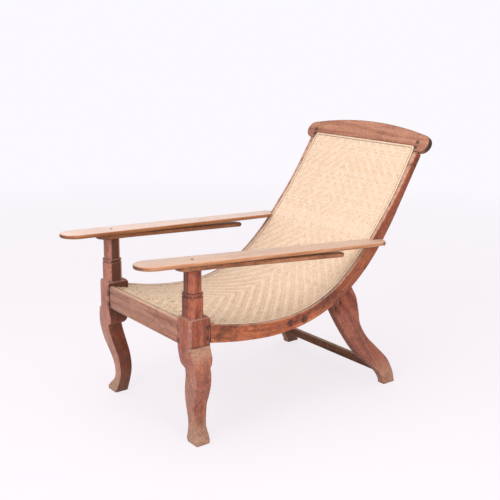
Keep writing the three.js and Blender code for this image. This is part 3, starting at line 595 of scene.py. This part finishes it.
def finish_wood(node, wood, direction, arris, segments, slot, shift):
    """A wooden piece in place of its node, with its arrises, attributes, wood and body. Slot is
    not used.
    """
    piece = rounded_copy(node, arris, segments, bent=direction is None)
    make = bent_grain if direction is None else straight_grain
    grain, _, _ = make(vertex_places(piece), direction)
    store(piece, "grain", grain + shift)
    centres = np.array([tuple(polygon.center) for polygon in piece.data.polygons])
    normals = np.array([tuple(polygon.normal) for polygon in piece.data.polygons])
    _, along, worn = make(centres, direction)
    facing = np.stack([
        normals[:, 0] * np.sign(centres[:, 0]), np.abs((normals * along).sum(axis=1)),
        (normals * worn).sum(axis=1),
    ], axis=1)
    store(piece, "facing", facing, "FACE")
    piece.data.materials.append(wood)
    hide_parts(node)
    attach(piece, node if node.startswith("leg_rest") else "frame")
    return piece


pieces = {}
for number, (node, settings) in enumerate(SINGLE.items()):
    pieces[node] = finish_wood(node, *settings, SINGLE_SHIFT * number)
for number, (kind, settings) in enumerate(PAIRED.items()):
    for side, sign in SIDES.items():
        node = f"{kind}_{side}"
        shift = PAIR_START + PAIR_SHIFT * number + sign * SIDE_SHIFT
        pieces[node] = finish_wood(node, *settings, shift)
pieces["front_leg_right"].data.materials[0] = leg_wood_right
pieces["armrest_right"].data.materials[0] = arm_wood_painted_lighter
for name, piece in pieces.items():
    print(name, len(piece.data.polygons), "faces")

# %% [markdown]
# The pegs and dowels show only their end grain, and the nails and pins only their heads. Their
# solids are good enough as they are, so they keep their CAD meshes and only change material.

# %% Pegs, pins and nails
MADE_OF = {"peg": peg_wood, "dowel": peg_wood, "nail": iron, "pin": iron}
small_parts = []
for name, node in nodes.items():
    for word, material in MADE_OF.items():
        if word in name:
            node.data.materials.clear()
            node.data.materials.append(material)
            small_parts.append(name)
print("pegs, dowels, nails and pins:", len(small_parts))

# %% [markdown]
# The weave is a twill: each strip passes over three and under three, and on the seat over four
# and under three, and every next strip steps one place aside, which draws slanting lines. The
# weaver turned the slant round at the middle and at two heights, so that the back shows nested
# diamonds and the seat shows chevrons. The pattern is a table of strips and rows that says which
# of the two lies on top. Its distances come from the photograph: strips 7.05 mm apart, and turns
# of the slant at 865 and 992 mm.

# %% Weave pattern
CANE_PITCH = 7.05 * MM
EDGE_ROOM = 0.6 * MM
MIRROR_X = -34 * MM
DIAMOND_RUN = 992 * MM
TURN_RUN = 865 * MM
LONG_FLOAT_RUN = 620 * MM
widest = rings[:, 2].max() - EDGE_ROOM
strip_count = 2 * round(widest / CANE_PITCH)
row_count = round((mat_length - 2 * EDGE_ROOM) / CANE_PITCH)
STRIP_PITCH = 2 * widest / strip_count
ROW_PITCH = (mat_length - 2 * EDGE_ROOM) / row_count

mirror = strip_count // 2 + round(MIRROR_X / STRIP_PITCH)
diamond, turn = int(DIAMOND_RUN / ROW_PITCH), int(TURN_RUN / ROW_PITCH)
rows = np.arange(row_count)
from_mirror = np.abs(np.arange(strip_count) + 0.5 - mirror).astype(int)
from_diamond = np.abs(rows + 0.5 - diamond).astype(int)
climb = np.where(rows >= turn, from_diamond, from_diamond[turn] - (turn - rows))
floats = np.where(rows * ROW_PITCH > LONG_FLOAT_RUN, 3, 4)
lengthwise_on_top = (from_mirror[:, None] + climb[None, :]) % (floats + 3) < floats
levels = np.where(lengthwise_on_top, 1, -1)
print("strips:", strip_count, "rows:", row_count)

# %% [markdown]
# A picture of a weave would be flat in a close view, so both sets of strips are modelled, and
# each strip rises and dips where it crosses the others. A grid is added with three faces for
# each strip and one between strips, and its vertices are laid on the mat, wrapped so that each
# strip is a thin rod with a crown on top. The faces between strips are deleted, the seams merged
# and the open ends filled. Each strip's grain is shifted, so that no two have the same fibres.

# %% A layer of strips
STRIP_WIDTH = 6.7 * MM
WAVE = 0.5 * MM
CROWN = 0.4 * MM
SECTION_ACROSS = np.array([-0.5, 0, 0.5, -0.5])
SECTION_UP = np.array([0, 1, 0, 0])
CORNERS = len(SECTION_ACROSS)
STRIP_SHIFT = 0.37
SEAM_DISTANCE = 0.01 * MM
random = np.random.default_rng(7)


def closed(piece, corners, smooth_degrees):
    """Merges the seams of a wrapped grid, fills its open ends, which have up to so many corners,
    or any number with 0, and smooths its gentle edges."""
    choose(piece)
    bpy.ops.object.mode_set(mode="EDIT")
    bpy.ops.mesh.select_all(action="SELECT")
    bpy.ops.mesh.remove_doubles(threshold=SEAM_DISTANCE)
    bpy.ops.mesh.select_all(action="DESELECT")
    bpy.ops.mesh.select_mode(type="EDGE")
    bpy.ops.mesh.select_non_manifold(extend=False)
    bpy.ops.mesh.fill_holes(sides=corners)
    bpy.ops.mesh.select_all(action="SELECT")
    bpy.ops.mesh.normals_make_consistent(inside=False)
    bpy.ops.object.mode_set(mode="OBJECT")
    bpy.ops.object.shade_smooth_by_angle(angle=math.radians(smooth_degrees))


def strip_layer(name, count, cells, waves, lay, tones):
    """A layer of strips. waves has a height for each strip and each line between cells."""
    columns = CORNERS * count
    bpy.ops.mesh.primitive_grid_add(x_subdivisions=columns - 1, y_subdivisions=cells, size=2)
    layer = bpy.context.object
    layer.name = name
    start = vertex_places(layer)
    column = np.rint((start[:, 0] + 1) / 2 * (columns - 1)).astype(int)
    line = np.rint((start[:, 1] + 1) / 2 * cells).astype(int)
    strip, corner = column // CORNERS, column % CORNERS
    wave, aside = waves[strip, line], SECTION_ACROSS[corner] * STRIP_WIDTH
    places, edge_gap = lay(strip, line, aside, WAVE * wave + CROWN * SECTION_UP[corner])
    layer.data.vertices.foreach_set("co", places.ravel())
    store(layer, "edge_gap", edge_gap)
    store(layer, "strip_spot", random.random((count, cells + 1))[strip, line])
    store(layer, "strip_tone", tones[strip])
    store(layer, "strip_wave", wave)
    grain = np.stack([line * CANE_PITCH, aside, strip * STRIP_SHIFT], axis=1)
    store(layer, "cane_grain", grain)
    face_corners = np.empty(len(layer.data.polygons) * 4, int)
    layer.data.polygons.foreach_get("vertices", face_corners)
    lowest = column[face_corners.reshape(-1, 4)].min(axis=1)
    bpy.ops.object.mode_set(mode="EDIT")
    bpy.ops.mesh.select_mode(type="FACE")
    bpy.ops.mesh.select_all(action="DESELECT")
    bpy.ops.object.mode_set(mode="OBJECT")
    layer.data.polygons.foreach_set("select", lowest % CORNERS == CORNERS - 1)
    bpy.ops.object.mode_set(mode="EDIT")
    bpy.ops.mesh.delete(type="FACE")
    bpy.ops.object.mode_set(mode="OBJECT")
    closed(layer, corners=4, smooth_degrees=75)
    print(name, len(layer.data.polygons), "faces")
    return layer


print(f"a strip is {STRIP_WIDTH / MM:.1f} mm wide, with {CORNERS} corners")

# %% [markdown]
# The lengthwise strips draw together where the mat is narrower, and the crosswise ones get
# shorter. A strip's height is 1 on top and -1 below, and between two crossings it is their mean,
# which gives the gentle wave of real cane. Each strip has a tone of its own, and each crossing a
# random number, from which the rare cracks are drawn.

# %% Lay the strips
UNDER = -(WAVE + CROWN)


def between(values):
    """Means of neighbours along the last axis, with the end values kept."""
    ends = np.concatenate([values[:, :1], values, values[:, -1:]], axis=1)
    return (ends[:, 1:] + ends[:, :-1]) / 2


def laid(across, run, height):
    """Places on the mat, and how far they are from its nearest edge. Across is measured at the
    widest place, and shrinks where the mat is narrower."""
    across = across * ((half_width(run) - EDGE_ROOM) / widest)
    gap = np.minimum(half_width(run) - np.abs(across), np.minimum(run, mat_length - run))
    return on_mat(across, run, height + UNDER), gap


def lay_lengthwise(strip, line, aside, height):
    middle = (strip + 0.5 - strip_count / 2) * STRIP_PITCH
    return laid(middle + aside, EDGE_ROOM + line * ROW_PITCH, height)


def lay_crosswise(strip, line, aside, height):
    run = EDGE_ROOM + (strip + 0.5) * ROW_PITCH + aside
    return laid((line - strip_count / 2) * STRIP_PITCH, run, height)


lengthwise = strip_layer(
    "mat_lengthwise_strips", strip_count, row_count, between(levels), lay_lengthwise,
    random.random(strip_count),
)
crosswise = strip_layer(
    "mat_crosswise_strips", row_count, strip_count, between(-levels.T), lay_crosswise,
    random.random(row_count),
)

# %% [markdown]
# Cane is split from rattan. The outer skin is pale straw and smooth, with fine fibres along it,
# and no two strips have quite the same tone. The fibres are 0.6 mm wide, coarser than real ones
# so that they show. A strip is browner where it dives under another: painted shade. A fine dark
# line along the edges of each strip is painted shade between strips, and dark flecks and dashes
# mark where the cane has stained or cracked. Near the mat's edge, beside the binding, the strips
# are darker, with dirt and painted shade. The flecks and dashes are stronger near the front edge,
# where legs rub and sweat, and the cane there is a deeper yellow. The painted shade of the dives
# is stronger there too.

# %% Cane material
FIBRE_RELIEF = 0.3 * MM


def cane_material(name, pale, straw, brown, woven=True, dive=0.06, turned=0):
    """Split cane between a pale and a straw tone. Dive is how brown it gets where it dives, and
    turned how much darker the seat's strips are that lie across the light."""
    material, add = new_material(name)
    grain = add("Attribute", take="Vector", attribute_name="cane_grain")
    tone = add("Attribute", take="Fac", attribute_name="strip_tone")
    wave = add("Attribute", take="Fac", attribute_name="strip_wave")
    place = add("TexCoord", take="Object")
    front = add("SeparateXYZ", (place,), "Y")
    fibre, along, flecks, patches = (
        add("TexNoise", {
            "Vector": add("Mapping", {"Vector": where, "Scale": per_metre}), "Scale": 1,
            "Detail": detail, "Roughness": 0.55,
        })
        for where, per_metre, detail in (
            (grain, (25, 1800, 60), 3), (grain, (26, 0, 1000), 3), (grain, (110, 280, 700), 2),
            (place, (9, 9, 9), 4),
        )
    )
    layers = [
        (tone, straw),
        (1, add("MapRange", (fibre, 0.3, 0.7, 0.95, 1.03))),
        (1, add("MapRange", (along, 0.3, 0.7, 0.95, 1.04))),
        (add("MapRange", (patches, 0.5, 0.75, 0, 0.25)), straw),
        # Painted shade: a strip is browner where it dives, more so towards the front.
        (add("MapRange", (wave, 0.5, -0.3)), add("MapRange", (front, 0.35, 0, dive, dive + 0.6)),
         brown),
    ]
    if woven:
        across = add("SeparateXYZ", (grain,), "Y")
        cracked = add("Attribute", take="Fac", attribute_name="strip_spot")
        edge_gap = add("Attribute", take="Fac", attribute_name="edge_gap")
        off_middle = add("Math", (across,), operation="ABSOLUTE")
        fleck = add("Math", (
            flecks, add("MapRange", (front, 0.2, -0.42, 0.62, 0.55)),
        ), operation="SUBTRACT")
        rare = add("Math", (
            add("MapRange", (front, 0.2, -0.1, 0.998, 0.985)),
            add("MapRange", (front, -0.12, -0.42, 0, 0.13)),
        ), operation="SUBTRACT")
        crack = add("Math", (cracked, rare), operation="SUBTRACT")
        layers += [
            (add("MapRange", (front, 0.3, 0.05, 0, turned)), "#B88E5C"),
            (add("MapRange", (front, -0.1, -0.42, 0, 0.35)), "#EFD3A6"),
            # Painted shade: a fine dark line along each strip's edges, between strips.
            (add("MapRange", (off_middle, 2.3 * MM, 3.2 * MM, 0, 0.4)),
             add("MapRange", (along, 0.35, 0.6, 0.4, 1.4)), brown),
            (add("MapRange", (fleck, 0, 0.05, 0, 0.6)), "#6E5137"),
            (add("MapRange", (crack, 0, 0.004, 0, 0.8)), "#5A3F2A"),
            # Dirt and painted shade: strips darken near the mat's edge, beside the binding.
            (add("MapRange", (edge_gap, 12.5 * MM, 8 * MM, 0, 0.3)),
             add("MapRange", (along, 0.3, 0.6)), "#5A4230"),
        ]
    relief = add("Bump", {"Height": fibre, "Strength": 0.2, "Distance": FIBRE_RELIEF})
    surface = add("BsdfPrincipled", {
        "Base Color": paint(add, pale, layers), "Roughness": 0.5, "Normal": relief, "IOR": 1.45,
    })
    add("OutputMaterial", {"Surface": surface})
    return material


cane = cane_material("split_cane", "#F2DBC2", "#E9CBAC", "#A27C5A")
# Painted shade: the crosswise strips get a slightly darker copy of the cane, and on the seat,
# where they lie across the light, turned darkens them more.
cross_cane = cane_material("split_cane_crosswise", "#EFD7BC", "#E4C6A6", "#957050", turned=0.16)
for layer, skin in ((lengthwise, cane), (crosswise, cross_cane)):
    layer.data.materials.append(skin)
    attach(layer, "frame")
    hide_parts("woven_mat")
    print(layer.name, "in", skin.name)

# %% [markdown]
# The mat's cut edges are hidden under one long strip of cane on each side, laced down with thin
# cane. Each strip is a half round rod, made from a grid that is wrapped round its section. The
# side strips stop short of the front corners, turn with the mat's round top corners, and meet
# the top strip there.

# %% A rod along the mat's edge
HALF_ROUND = (
    (-0.5, 0), (-0.42, 0.5), (-0.22, 0.88), (0, 1), (0.22, 0.88), (0.42, 0.5), (0.5, 0),
)
ROD_TONE = 0.3
OUTLINE_STEP = 3 * MM
TOP_POINTS = 60


def lay_rod(name, centres, across, up, section):
    """A closed rod along a line of places. The section is (across, up) in metres."""
    count, sides = len(centres), len(section)
    bpy.ops.mesh.primitive_grid_add(x_subdivisions=sides, y_subdivisions=count - 1, size=2)
    rod = bpy.context.object
    rod.name = name
    start = vertex_places(rod)
    corner = np.rint((start[:, 0] + 1) / 2 * sides).astype(int) % sides
    line = np.rint((start[:, 1] + 1) / 2 * (count - 1)).astype(int)
    outline = section[corner]
    places = centres[line] + across[line] * outline[:, :1] + up[line] * outline[:, 1:]
    rod.data.vertices.foreach_set("co", places.ravel())
    grain = np.stack([spread(centres)[line], outline[:, 0], outline[:, 1]], axis=1)
    store(rod, "cane_grain", grain)
    store(rod, "strip_tone", np.full(len(start), ROD_TONE))
    store(rod, "strip_wave", np.ones(len(start)))
    closed(rod, corners=0, smooth_degrees=50)
    return rod


def mat_outline(inset):
    """(across, run) places a little inside the mat's outline, from the front left corner up the
    left side, round the top corner, and along the top edge to its middle."""
    side = np.stack([rings[:, 2], ring_runs], axis=1)
    top_x = np.linspace(side[-1, 0], 0, TOP_POINTS)
    top = np.stack([top_x, np.full(TOP_POINTS, mat_length)], axis=1)[1:]
    outline = np.concatenate([side, top])
    reach = spread(outline)
    at = np.arange(0, reach[-1], OUTLINE_STEP)
    even = np.stack([np.interp(at, reach, outline[:, i]) for i in (0, 1)], axis=1)
    ahead = np.gradient(even, axis=0)
    ahead /= np.linalg.norm(ahead, axis=1, keepdims=True)
    return even + inset * np.stack([-ahead[:, 1], ahead[:, 0]], axis=1)


def laid_line(flat, sign):
    """Places, directions out over the mat's edge, and directions up, for (across, run) places."""
    across_x, run = flat[:, 0], flat[:, 1]
    places = on_mat(sign * across_x, run, np.zeros(len(run)))
    along = np.gradient(places, axis=0)
    along /= np.linalg.norm(along, axis=1, keepdims=True)
    up = np.stack([
        np.zeros(len(run)), -np.interp(run, runs, tangent_z), np.interp(run, runs, tangent_y),
    ], axis=1)
    return places, np.cross(along, up), up


BINDING_INSET = 3.9 * MM
outline = mat_outline(BINDING_INSET)
print(f"half the mat's outline: {spread(outline)[-1]:.3f} m")

# %% [markdown]
# The binding is paler than the mat, since nobody sits on it. Only the front strip, which every
# leg rubs, is brown: it is soiled, and also darkened as painted shade for the gap above the front
# rail's bead. The two sides are mirrored, and the top strip is half of the outline with its own
# mirror image.

# %% Binding strips
BINDING_WIDTH = 6.4 * MM
BINDING_HEIGHT = 1.9 * MM
BINDING_START = 68 * MM
FRONT_REACH = 228 * MM
FRONT_RUN = 4.2 * MM
FRONT_POINTS = 77
half_round = np.array(HALF_ROUND) * (BINDING_WIDTH, BINDING_HEIGHT)
binding_cane = cane_material("binding_cane", "#F8E6D0", "#EDD3B4", "#8A6344", woven=False)
# The front strip's brown is dirt and painted shade in one.
soiled_and_shaded_cane = cane_material("soiled_binding_cane_with_painted_shade", "#B08C66", "#977350", "#6A4A30", woven=False)
from_corner = (outline[:, 1] > mat_length - 2 * BINDING_INSET) & (outline[:, 0] < rings[-1, 2])
first = np.argmax(outline[:, 1] > BINDING_START)
turn = np.argmax(from_corner)
front_x = np.linspace(-FRONT_REACH, FRONT_REACH, FRONT_POINTS)
edges = {
    # edge: CAD node, (across, run) places, side
    "left": ("side_binding_left", outline[first:turn], 1),
    "right": ("side_binding_right", outline[first:turn][::-1], -1),
    "top": ("top_binding", np.concatenate([outline[turn:], outline[turn:][::-1] * (-1, 1)]), 1),
    "front": ("front_binding", np.stack([front_x, np.full(FRONT_POINTS, FRONT_RUN)], axis=1), 1),
}
lacing = {}
for end, (node, flat, side) in edges.items():
    lacing[end] = laid_line(flat, side)
    strip = lay_rod(f"edge_cane_{end}", *lacing[end], half_round)
    strip.data.materials.append(soiled_and_shaded_cane if end == "front" else binding_cane)
    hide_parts(node)
    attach(strip, "frame")
    print(f"{strip.name}: {spread(lacing[end][0])[-1]:.3f} m long")

# %% [markdown]
# The lacing is one small loop, copied along the strips, and each loop goes down through a dark
# hole beside the strip. Both are built at the origin, with X out over the mat's edge, Y along
# the strip and Z up. The loop is a ring that stands across the strip, flattened to its section.
# The hole is a low dark heap, which stands in for the shade inside it: painted shade.

# %% One loop and one hole
LOOP_SPACING = 7.6 * MM
LOOP_WIDTH = 1.8 * MM
LOOP_ROOM = 0.6 * MM
LOOP_LIFT = 0.4 * MM
RING_THICKNESS = 0.2
HOLE_INSET = 4.6 * MM
HOLE_SIZE = (2.0 * MM, 1.9 * MM, 0.7 * MM)


def shaped(size, turn=0.0, move=0.0):
    """The primitive just added, with its mesh turned about X, scaled and moved along X."""
    shape = bpy.context.object
    bpy.ops.object.mode_set(mode="EDIT")
    bpy.ops.mesh.select_all(action="SELECT")
    bpy.ops.transform.rotate(value=turn, orient_axis="X", center_override=(0, 0, 0))
    bpy.ops.transform.resize(value=size)
    bpy.ops.transform.translate(value=(move, 0, 0))
    bpy.ops.object.mode_set(mode="OBJECT")
    return shape


bpy.ops.mesh.primitive_torus_add(
    major_segments=12, minor_segments=4, major_radius=1, minor_radius=RING_THICKNESS,
)
loop = shaped((
    BINDING_WIDTH / 2 + LOOP_ROOM, LOOP_WIDTH / (2 * RING_THICKNESS), BINDING_HEIGHT + LOOP_LIFT,
), turn=math.pi / 2)
bpy.ops.mesh.primitive_ico_sphere_add(subdivisions=2, radius=1)
hole = shaped(HOLE_SIZE, move=-HOLE_INSET)
print("loop:", tuple(round(size / MM, 1) for size in loop.dimensions), "mm")

# %% [markdown]
# Hand lacing is never even. Each copy lands up to 0.6 mm from its place, the loops lean by
# different amounts, the holes differ in length, and every copy has its own tone. All copies go
# into one mesh, which is much faster than hundreds of objects.

# %% Lacing loops
LOOP_JITTER = 1.2 * MM
LEAN_START, LEAN_RANGE = 0.7, 0.6
LENGTH_START, LENGTH_RANGE = 0.8, 0.35


def copies_along(shape, name, lines, lean_by=0.0, stretched=False):
    """One mesh with copies of a shape along several lines of places."""
    places = vertex_places(shape)
    faces = [tuple(polygon.vertices) for polygon in shape.data.polygons]
    lowest, highest = places[:, 2].min(), places[:, 2].max()
    wave = 2 * (places[:, 2] - lowest) / (highest - lowest) - 1
    all_places, all_faces, tones, waves = [], [], [], []
    for centres, out, up in lines:
        run = spread(centres)
        for at in np.arange(LOOP_SPACING, run[-1] - LOOP_SPACING / 2, LOOP_SPACING):
            here = at + LOOP_JITTER * (random.random() - 0.5)
            centre, aside, rise = (
                np.array([np.interp(here, run, field[:, i]) for i in range(3)])
                for field in (centres, out, up)
            )
            along = np.cross(rise, aside)
            lean = lean_by * (LEAN_START + LEAN_RANGE * random.random())
            length = LENGTH_START + LENGTH_RANGE * random.random() if stretched else 1
            axes = np.stack([aside + lean * along, length * along, rise])
            base = len(all_places) * len(places)
            all_places.append(places @ axes + centre)
            all_faces += [tuple(base + v for v in face) for face in faces]
            tones += [random.random()] * len(places)
            waves += wave.tolist()
    mesh = bpy.data.meshes.new(name)
    mesh.from_pydata(np.concatenate(all_places).tolist(), [], all_faces)
    made = bpy.data.objects.new(name, mesh)
    bpy.context.scene.collection.objects.link(made)
    store(made, "strip_tone", tones)
    store(made, "strip_wave", waves)
    store(made, "cane_grain", vertex_places(made))
    choose(made)
    bpy.ops.object.shade_smooth()
    bpy.data.objects.remove(shape)
    print(name, len(made.data.polygons), "faces")
    return made


laced = [lacing[end] for end in ("left", "right", "top")]
loops = copies_along(loop, "lacing_loops", laced, lean_by=0.4)
holes = copies_along(hole, "stitch_holes", lacing.values(), stretched=True)

# %% [markdown]
# The lacing is cane too, dark brown low down, where it dives beside the strip. The dark heaps in
# the holes are painted shade, dull and a little uneven in tone, with speckles of 2 mm.

# %% Lacing cane and painted shade in the holes
HOLE_SPECKLE_PER_METRE = 500
lacing_cane = cane_material(
    "lacing_cane", "#E2C4A2", "#BC946E", "#4A3324", woven=False, dive=0.75,
)
# Painted shade: the dark heaps stand in for the shade in the stitch holes.
hole_shade, add = new_material("painted_shade_in_stitch_holes")
hole_speckle = add("TexNoise", {
    "Vector": add("TexCoord", take="Object"), "Scale": HOLE_SPECKLE_PER_METRE, "Detail": 3,
    "Roughness": 0.55,
})
colour = paint(add, "#3E2B1E", [(1, add("MapRange", (hole_speckle, 0.3, 0.7, 0.7, 1.5)))])
surface = add("BsdfPrincipled", {"Base Color": colour, "Roughness": 0.9})
add("OutputMaterial", {"Surface": surface})
for piece, skin in ((loops, lacing_cane), (holes, hole_shade)):
    piece.data.materials.append(skin)
    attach(piece, "frame")
    print(piece.name, "in", skin.name)

# %% [markdown]
# The studio is a white sweep, bright and almost without shadows. A real white sweep is
# overexposed in such a photograph, so the camera sees a floor that glows to near white, takes
# only a faint shadow, and fades into the backdrop a few metres behind the chair. For the light
# that falls on the chair the same floor is plain and dull, so the undersides stay dark.

# %% Floor
FLOOR_SIZE = 60
FLOOR_GLOW = 0.785
FADE_START, FADE_END = 1.6, 5
BACKDROP = "#FBF9FE"
bpy.ops.mesh.primitive_plane_add(size=FLOOR_SIZE)
floor = bpy.context.object
floor.name = "studio_floor"
floor_paint, add = new_material("overexposed_white_sweep")
from_chair = add("VectorMath", (add("TexCoord", take="Object"),), "Value", operation="LENGTH")
near_chair = add("BsdfPrincipled", {
    "Base Color": linear("#7A767A"), "Roughness": 0.9, "Specular IOR Level": 0,
    "Emission Color": linear("#FCF8FC"), "Emission Strength": FLOOR_GLOW,
})
backdrop = add("Emission", (linear(BACKDROP), 1))
sweep = add("MixShader", (
    add("MapRange", (from_chair, FADE_START, FADE_END)), near_chair, backdrop,
))
plain = add("BsdfDiffuse", (linear("#E2DCDE"),))
direct = add("LightPath", take="Is Camera Ray")
add("OutputMaterial", {"Surface": add("MixShader", (direct, plain, sweep))})
floor.data.materials.append(floor_paint)
print(floor.name, "in", floor_paint.name)

# %% [markdown]
# The light comes from all around, but less from the rear right. So the world is a soft white
# that gets dimmer towards that side, and the camera sees the plain backdrop instead.

# %% Light all around
REAR_RIGHT = (0.8, 0.6, 0)
world = bpy.data.worlds.new("studio")
bpy.context.scene.world = world
world.use_nodes = True
world.node_tree.nodes.clear()
add = partial(add_node, world.node_tree)
heading = add("TexCoord", take="Generated")
to_rear_right = add("VectorMath", (heading, REAR_RIGHT), "Value", operation="DOT_PRODUCT")
dimmed = add("MapRange", (to_rear_right, -0.2, 0.9, 0.78, 0.35))
lit = add("Background", (linear("#FFFBFA"), dimmed))
seen = add("Background", (linear(BACKDROP), 1))
direct = add("LightPath", take="Is Camera Ray")
add("OutputWorld", {"Surface": add("MixShader", (direct, lit, seen))})
print("world nodes:", len(world.node_tree.nodes))

# %% [markdown]
# Three softboxes shape the chair: a cool one in front, a warmer one right of the camera, and one
# overhead. They are large, so their shadows are soft, and all point at the middle of the seat.

# %% Softboxes
AIM = Vector((0, 0, 0.4))
SOFTBOXES = {
    # name: place, size in metres, power in watts, colour
    "overhead_softbox": ((0.0, 0.0, 3.2), 2.4, 30, "#FFFCFA"),
    "front_softbox": ((0.8, -2.6, 2.5), 1.6, 42, "#EEF0FF"),
    "right_softbox": ((3.0, -0.6, 1.3), 1.6, 36, "#FFF1E4"),
}
for name, (place, size, power, colour) in SOFTBOXES.items():
    bpy.ops.object.light_add(type="AREA", location=place)
    light = bpy.context.object
    light.name = name
    light.data.size = size
    light.data.energy = power
    light.data.color = linear(colour)[:3]
    light.rotation_euler = (AIM - Vector(place)).to_track_quat("-Z", "Y").to_euler()
    print(name, power, "W")
bpy.context.scene.view_settings.view_transform = "Standard"
